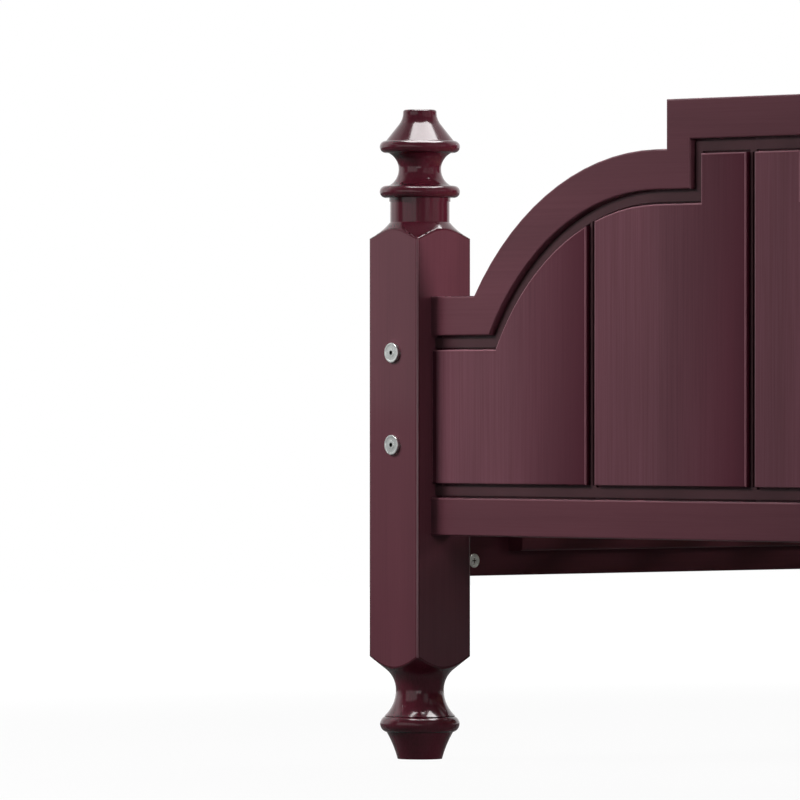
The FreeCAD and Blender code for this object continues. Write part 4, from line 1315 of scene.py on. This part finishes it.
    def screw_runs(self) -> list[tuple[str, float, list[Matrix]]]:
        """The CAD node, the thickness and the places of each run of screws."""
        sink, up, both = self.screw_sink, Vector((0, 0, 1)), (-1, 1)
        slats = [self.slat_pitch * (index - (self.slat_count - 1) / 2) for index in range(self.slat_count)]
        cleats = [self.cleat_reach * (2 * index / (self.cleat_count - 1) - 1)
                  for index in range(self.cleat_count)]
        cleat_face = self.rail_inner - self.cleat_width + sink
        return [
            ("slat_screws", self.deck_top - self.cleat_top - sink,
             [facing(Vector((self.slat_screw_x * side, y, self.deck_top - sink)), up)
              for side in both for y in slats]),
            ("cleat_screws", self.cleat_width - sink,
             [facing(Vector((cleat_face * side, y, self.cleat_screw_height)), Vector((-side, 0, 0)))
              for side in both for y in cleats]),
            ("hanger_screws", self.hanger_grip,
             [facing(Vector((self.hanger_screw_x * side, self.hanger_face * way, z)), Vector((0, -way, 0)))
              for way in both for side in both for z in self.hanger_screw_heights]),
            ("leg_screws", self.beam_height - sink,
             [facing(Vector((self.leg_screw_x * side, self.leg_y * way, self.cleat_top - sink)), up)
              for side in both for way in both]),
        ]


@dataclass
class LevellingGlide:
    """A glide under a centre leg: a moulded pad and a threaded steel stem."""

    place: str
    nylon: Material
    zinc: Material
    pad_radius: float = 16.0
    pad_height: float = 8.0
    rim: float = 2.0
    stem_radius: float = 4.0
    stem_length: float = 46.0
    thread_pitch: float = 1.25
    thread_depth: float = 0.6
    hub_radius: float = 6.5
    hub_sweep: float = 1.5
    plain_end: float = 2.0
    point_length: float = 1.5
    point_taper: float = 1.0

    def build(self) -> None:
        """Models and dresses the pad and the stem."""
        node = f"levelling_glide_{self.place}"
        for piece, material, slot in ((self.model_pad(), self.nylon, NYLON.slot),
                                      (self.model_stem(), self.zinc, ZINC.slot)):
            settle(piece, stand(node))
            fit(piece, material, slot, node, body=f"{self.place}_glide")

    def model_pad(self) -> Piece:
        """The pad: rounded rims and a raised hub round the stem."""
        flat, deck = self.pad_radius - self.rim, self.pad_height - self.rim
        return turn(f"glide_pad_{self.place}", [
            Stroke(0, 0), Stroke(flat, 0, self.rim, 1), Stroke(self.pad_radius, self.rim),
            Stroke(self.pad_radius, deck - self.rim, self.rim, 1), Stroke(flat, deck),
            Stroke(self.hub_radius + self.hub_sweep, deck, self.hub_sweep, -1),
            Stroke(self.hub_radius, self.pad_height), Stroke(0, self.pad_height),
        ], PAD_STEPS)

    def model_stem(self) -> Piece:
        """The stem, with its thread drawn as rings of the thread's pitch."""
        low, high = self.pad_height - self.rim, self.pad_height + self.stem_length
        strokes = [Stroke(0, low), Stroke(self.stem_radius, low)]
        for ring in range(int((self.stem_length - self.plain_end) / self.thread_pitch)):
            level = self.pad_height + ring * self.thread_pitch
            strokes += [Stroke(self.stem_radius, level),
                        Stroke(self.stem_radius - self.thread_depth, level + self.thread_pitch / 2)]
        strokes += [Stroke(self.stem_radius, high - self.point_length),
                    Stroke(self.stem_radius - self.point_taper, high), Stroke(0, high)]
        return turn(f"glide_stem_{self.place}", strokes, STEM_STEPS)


@dataclass
class PlainBoards:
    """The CAD nodes that stay as they are, and the finish that each gets."""

    finishes: dict[str, Material] = field(default_factory=dict)

    def add(self, material: Material, *nodes: str) -> None:
        """Gives nodes a finish.

        Args:
            material: The finish.
            nodes: CAD nodes.
        """
        self.finishes.update(dict.fromkeys(nodes, material))

    def dress(self) -> None:
        """Puts each finish on its node."""
        for node, material in self.finishes.items():
            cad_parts[node].material_slots[0].material = material
            LOG.info("%s: %s", node, material.name)


@dataclass(frozen=True)
class Softbox:
    """A flat soft lamp, aimed at a point; sizes and places are in metres, and radiance 1 is white."""

    name: str
    place: tuple[float, float, float]
    aim: tuple[float, float, float]
    size: tuple[float, float]
    radiance: float
    turn: float = 0.0
    spread: float = 180.0
    lights: bool = True
    shines: bool = True

    def hang(self) -> None:
        """Hangs the lamp, out of the camera's sight."""
        lamp = bpy.data.lights.new(self.name, "AREA")
        lamp.shape = "RECTANGLE"
        lamp.size, lamp.size_y = self.size
        lamp.energy = math.pi * self.size[0] * self.size[1] * self.radiance
        lamp.spread = math.radians(self.spread)
        holder = bpy.data.objects.new(self.name, lamp)
        holder.location = self.place
        facing_away = (Vector(self.place) - Vector(self.aim)).to_track_quat("Z", "Y")
        holder.rotation_euler = (facing_away @ Quaternion((0, 0, 1), math.radians(self.turn))).to_euler()
        holder.visible_camera = False
        holder.visible_diffuse = self.lights
        holder.visible_glossy = self.shines
        bpy.context.scene.collection.objects.link(holder)


CORNER = (-0.507, -0.976, 0.5)
SOFTBOXES = (
    # Keys light the wood and don't show in it
    Softbox("left_key", (-1.55, -2.35, 1.45), (-0.55, -1.0, 0.2), (0.9, 0.3), 13.8,
            spread=100.0, shines=False),
    Softbox("right_key", (4.62, 1.29, 1.08), CORNER, (1.65, 1.0), 49.0, shines=False),
    Softbox("right_fill", (2.6, -1.75, 1.0), CORNER, (0.8, 0.8), 7.0, shines=False),
    Softbox("back_key", (-1.5, 4.2, 2.4), (0.0, 1.0, 0.6), (1.4, 1.4), 24.0, shines=False),
    # Cards show in the lacquer and don't light it
    Softbox("overhead_card", (-0.43, -0.69, 2.65), (-0.43, -0.69, 0.0), (2.05, 1.75), 19.0,
            turn=47.7, lights=False),
    Softbox("left_card", (-2.41, -2.08, 1.3), CORNER, (1.5, 2.0), 0.5, lights=False),
    Softbox("front_card", (-0.28, -3.57, 0.7), CORNER, (2.8, 1.6), 1.1, lights=False),
    Softbox("right_card", (2.07, -0.61, 1.2), CORNER, (3.2, 1.6), 0.45, lights=False),
    Softbox("low_card", (1.51, -3.19, 0.22), (-0.507, -0.976, 0.22), (1.2, 0.4), 2.5, lights=False),
)


@dataclass
class Studio:
    """The photograph's view: a white backdrop behind the bed, a pale floor and a dim room with soft lamps."""

    lens: float = 356.4
    sensor: float = 36.0
    azimuth: float = 47.7
    eye: tuple[float, float, float] = (5.600, -6.561, 0.3804)
    shift: float = -0.00675
    floor_size: float = 12.0
    floor_paint: str = "#707070"
    floor_glow: float = 1.12
    floor_mirror: float = 0.08
    near_glow: float = 0.85
    glow_span: tuple[float, float] = (1.3, 3.6)
    fill: float = 0.08
    room: float = 0.12
    backdrop_span: tuple[float, float] = (0.0, 0.4)

    def build(self) -> None:
        """Makes the camera, the floor, the world and the lamps."""
        self.place_camera()
        self.lay_floor()
        self.paint_world()
        for softbox in SOFTBOXES:
            softbox.hang()
        bpy.context.scene.view_settings.view_transform = "Standard"

    def place_camera(self) -> None:
        """Puts the camera at the photograph's view, level and far off."""
        camera = bpy.data.cameras.new("photograph_view")
        camera.lens = self.lens
        camera.sensor_width = self.sensor
        camera.shift_y = self.shift
        holder = bpy.data.objects.new("photograph_view", camera)
        holder.location = self.eye
        holder.rotation_euler = (math.pi / 2, 0, math.radians(self.azimuth))
        bpy.context.scene.collection.objects.link(holder)
        bpy.context.scene.camera = holder

    def lay_floor(self) -> None:
        """Lays a pale floor that turns white away from the bed and keeps its shadow near it."""
        clear_selection()
        bpy.ops.mesh.primitive_plane_add(size=self.floor_size, location=(0, 0, 0))
        floor = bpy.context.object
        floor.name = "studio_floor"
        material, tree, output = new_material("pale_studio_floor")
        place = add_node(tree, "ShaderNodeTexCoord").outputs["Object"]
        away = add_node(tree, "ShaderNodeVectorMath", {"operation": "LENGTH"}, {0: place}).outputs["Value"]
        share = remap(tree, away, self.near_glow, 1.0, self.glow_span, smooth=True)
        path = add_node(tree, "ShaderNodeLightPath").outputs
        mirrored = combine(tree, "MULTIPLY", path["Is Glossy Ray"], self.floor_mirror)
        direct = combine(tree, "MAXIMUM", path["Is Camera Ray"], path["Is Transmission Ray"])
        glowing = combine(tree, "MULTIPLY", combine(tree, "MAXIMUM", direct, mirrored), share)
        paint = add_node(tree, "ShaderNodeBsdfDiffuse", {"Color": linear(self.floor_paint)})
        glow = add_node(tree, "ShaderNodeEmission", {"Color": linear(WHITE), "Strength": self.floor_glow})
        mix = add_node(tree, "ShaderNodeMixShader", {},
                       {0: glowing, 1: paint.outputs["BSDF"], 2: glow.outputs["Emission"]})
        tree.links.new(mix.outputs["Shader"], output.inputs["Surface"])
        floor.data.materials.append(material)

    def paint_world(self) -> None:
        """Makes the world white to the camera, white behind the bed in reflections, and a soft fill."""
        world = bpy.data.worlds.new("white_studio")
        bpy.context.scene.world = world
        world.use_nodes = True
        tree = world.node_tree
        tree.nodes.clear()
        angle = math.radians(self.azimuth)
        way = add_node(tree, "ShaderNodeTexCoord").outputs["Generated"]
        behind = add_node(tree, "ShaderNodeVectorMath",
                          {"operation": "DOT_PRODUCT", 1: (-math.sin(angle), math.cos(angle), 0)}, {0: way})
        backdrop = remap(tree, behind.outputs["Value"], self.room, 1.0, self.backdrop_span, smooth=True)
        path = add_node(tree, "ShaderNodeLightPath").outputs
        mirrored = add_node(tree, "ShaderNodeMix", {"data_type": "FLOAT", 2: self.fill},
                            {0: path["Is Glossy Ray"], 3: backdrop}).outputs[0]
        direct = combine(tree, "MAXIMUM", path["Is Camera Ray"], path["Is Transmission Ray"])
        sky = add_node(tree, "ShaderNodeBackground", {"Color": linear(WHITE)},
                       {"Strength": combine(tree, "MAXIMUM", direct, mirrored)})
        output = add_node(tree, "ShaderNodeOutputWorld")
        tree.links.new(sky.outputs["Background"], output.inputs["Surface"])


def main() -> None:
    """Builds every piece, dresses the rest and sets up the studio."""
    logging.basicConfig(level=logging.INFO, format="%(name)s: %(message)s")
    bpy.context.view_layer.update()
    # The lacquer's copies differ in colour: the flat pieces' paler, greyer colours carry a painted sheen that
    # the darker turned pieces' colour lacks
    lacquer, pine = MerlotLacquer(pore="#683e48", stain="#764a55", arris_highlight="#97646f"), PlanedPine()
    polish = {"specular": 0.2, "coat": 0.3, "coat_roughness": 0.08}
    post = MerlotLacquer("post", pore="#60343e", arris_highlight="#9a6470", roughness=(0.2, 0.26), **polish)
    turned = MerlotLacquer("turned", pore="#47151f", stain="#531c2a", roughness=(0.16, 0.22), **polish)
    calm = MerlotLacquer("rail", pore="#643842", stain="#6a3d47", specular=0.2)
    dull = MerlotLacquer("side_rail", pore="#5c323c", stain="#63363f", specular=0.1, coat=0.05)
    upright, polished = post.material(Grain.UPRIGHT), turned.material(Grain.UPRIGHT)
    across, along = calm.material(Grain.ACROSS), dull.material(Grain.ALONG)
    boards = lacquer.material(Grain.UPRIGHT, board_pitch=ArchPanel.pitch)
    zinc, nylon = ZINC.material(), NYLON.material()
    for end in ENDS:
        for side in SIDES:
            TurnedPost(end, side, upright, polished).build(lacquer.slot)
        ArchPanel(end, across, boards).build(lacquer.slot)
    Fittings(zinc).build()
    for place in ("front", "rear"):
        LevellingGlide(place, nylon, zinc).build()

    plain = PlainBoards()
    plain.add(along, *(f"{side}_{part}" for side in SIDES for part in ("side_rail", "slat_cleat")))
    plain.add(pine.material(Grain.ACROSS), *(f"slat_{number:02d}" for number in range(1, SLATS + 1)))
    plain.add(pine.material(Grain.ALONG), "centre_beam")
    plain.add(pine.material(Grain.UPRIGHT), "centre_leg_front", "centre_leg_rear", "finial_dowels",
              "foot_dowels")
    plain.add(zinc, "footboard_beam_hanger", "headboard_beam_hanger", "barrel_nuts", "cam_studs", "leg_inserts")
    plain.dress()
    Studio().build()


if __name__ == "__main__":
    main()
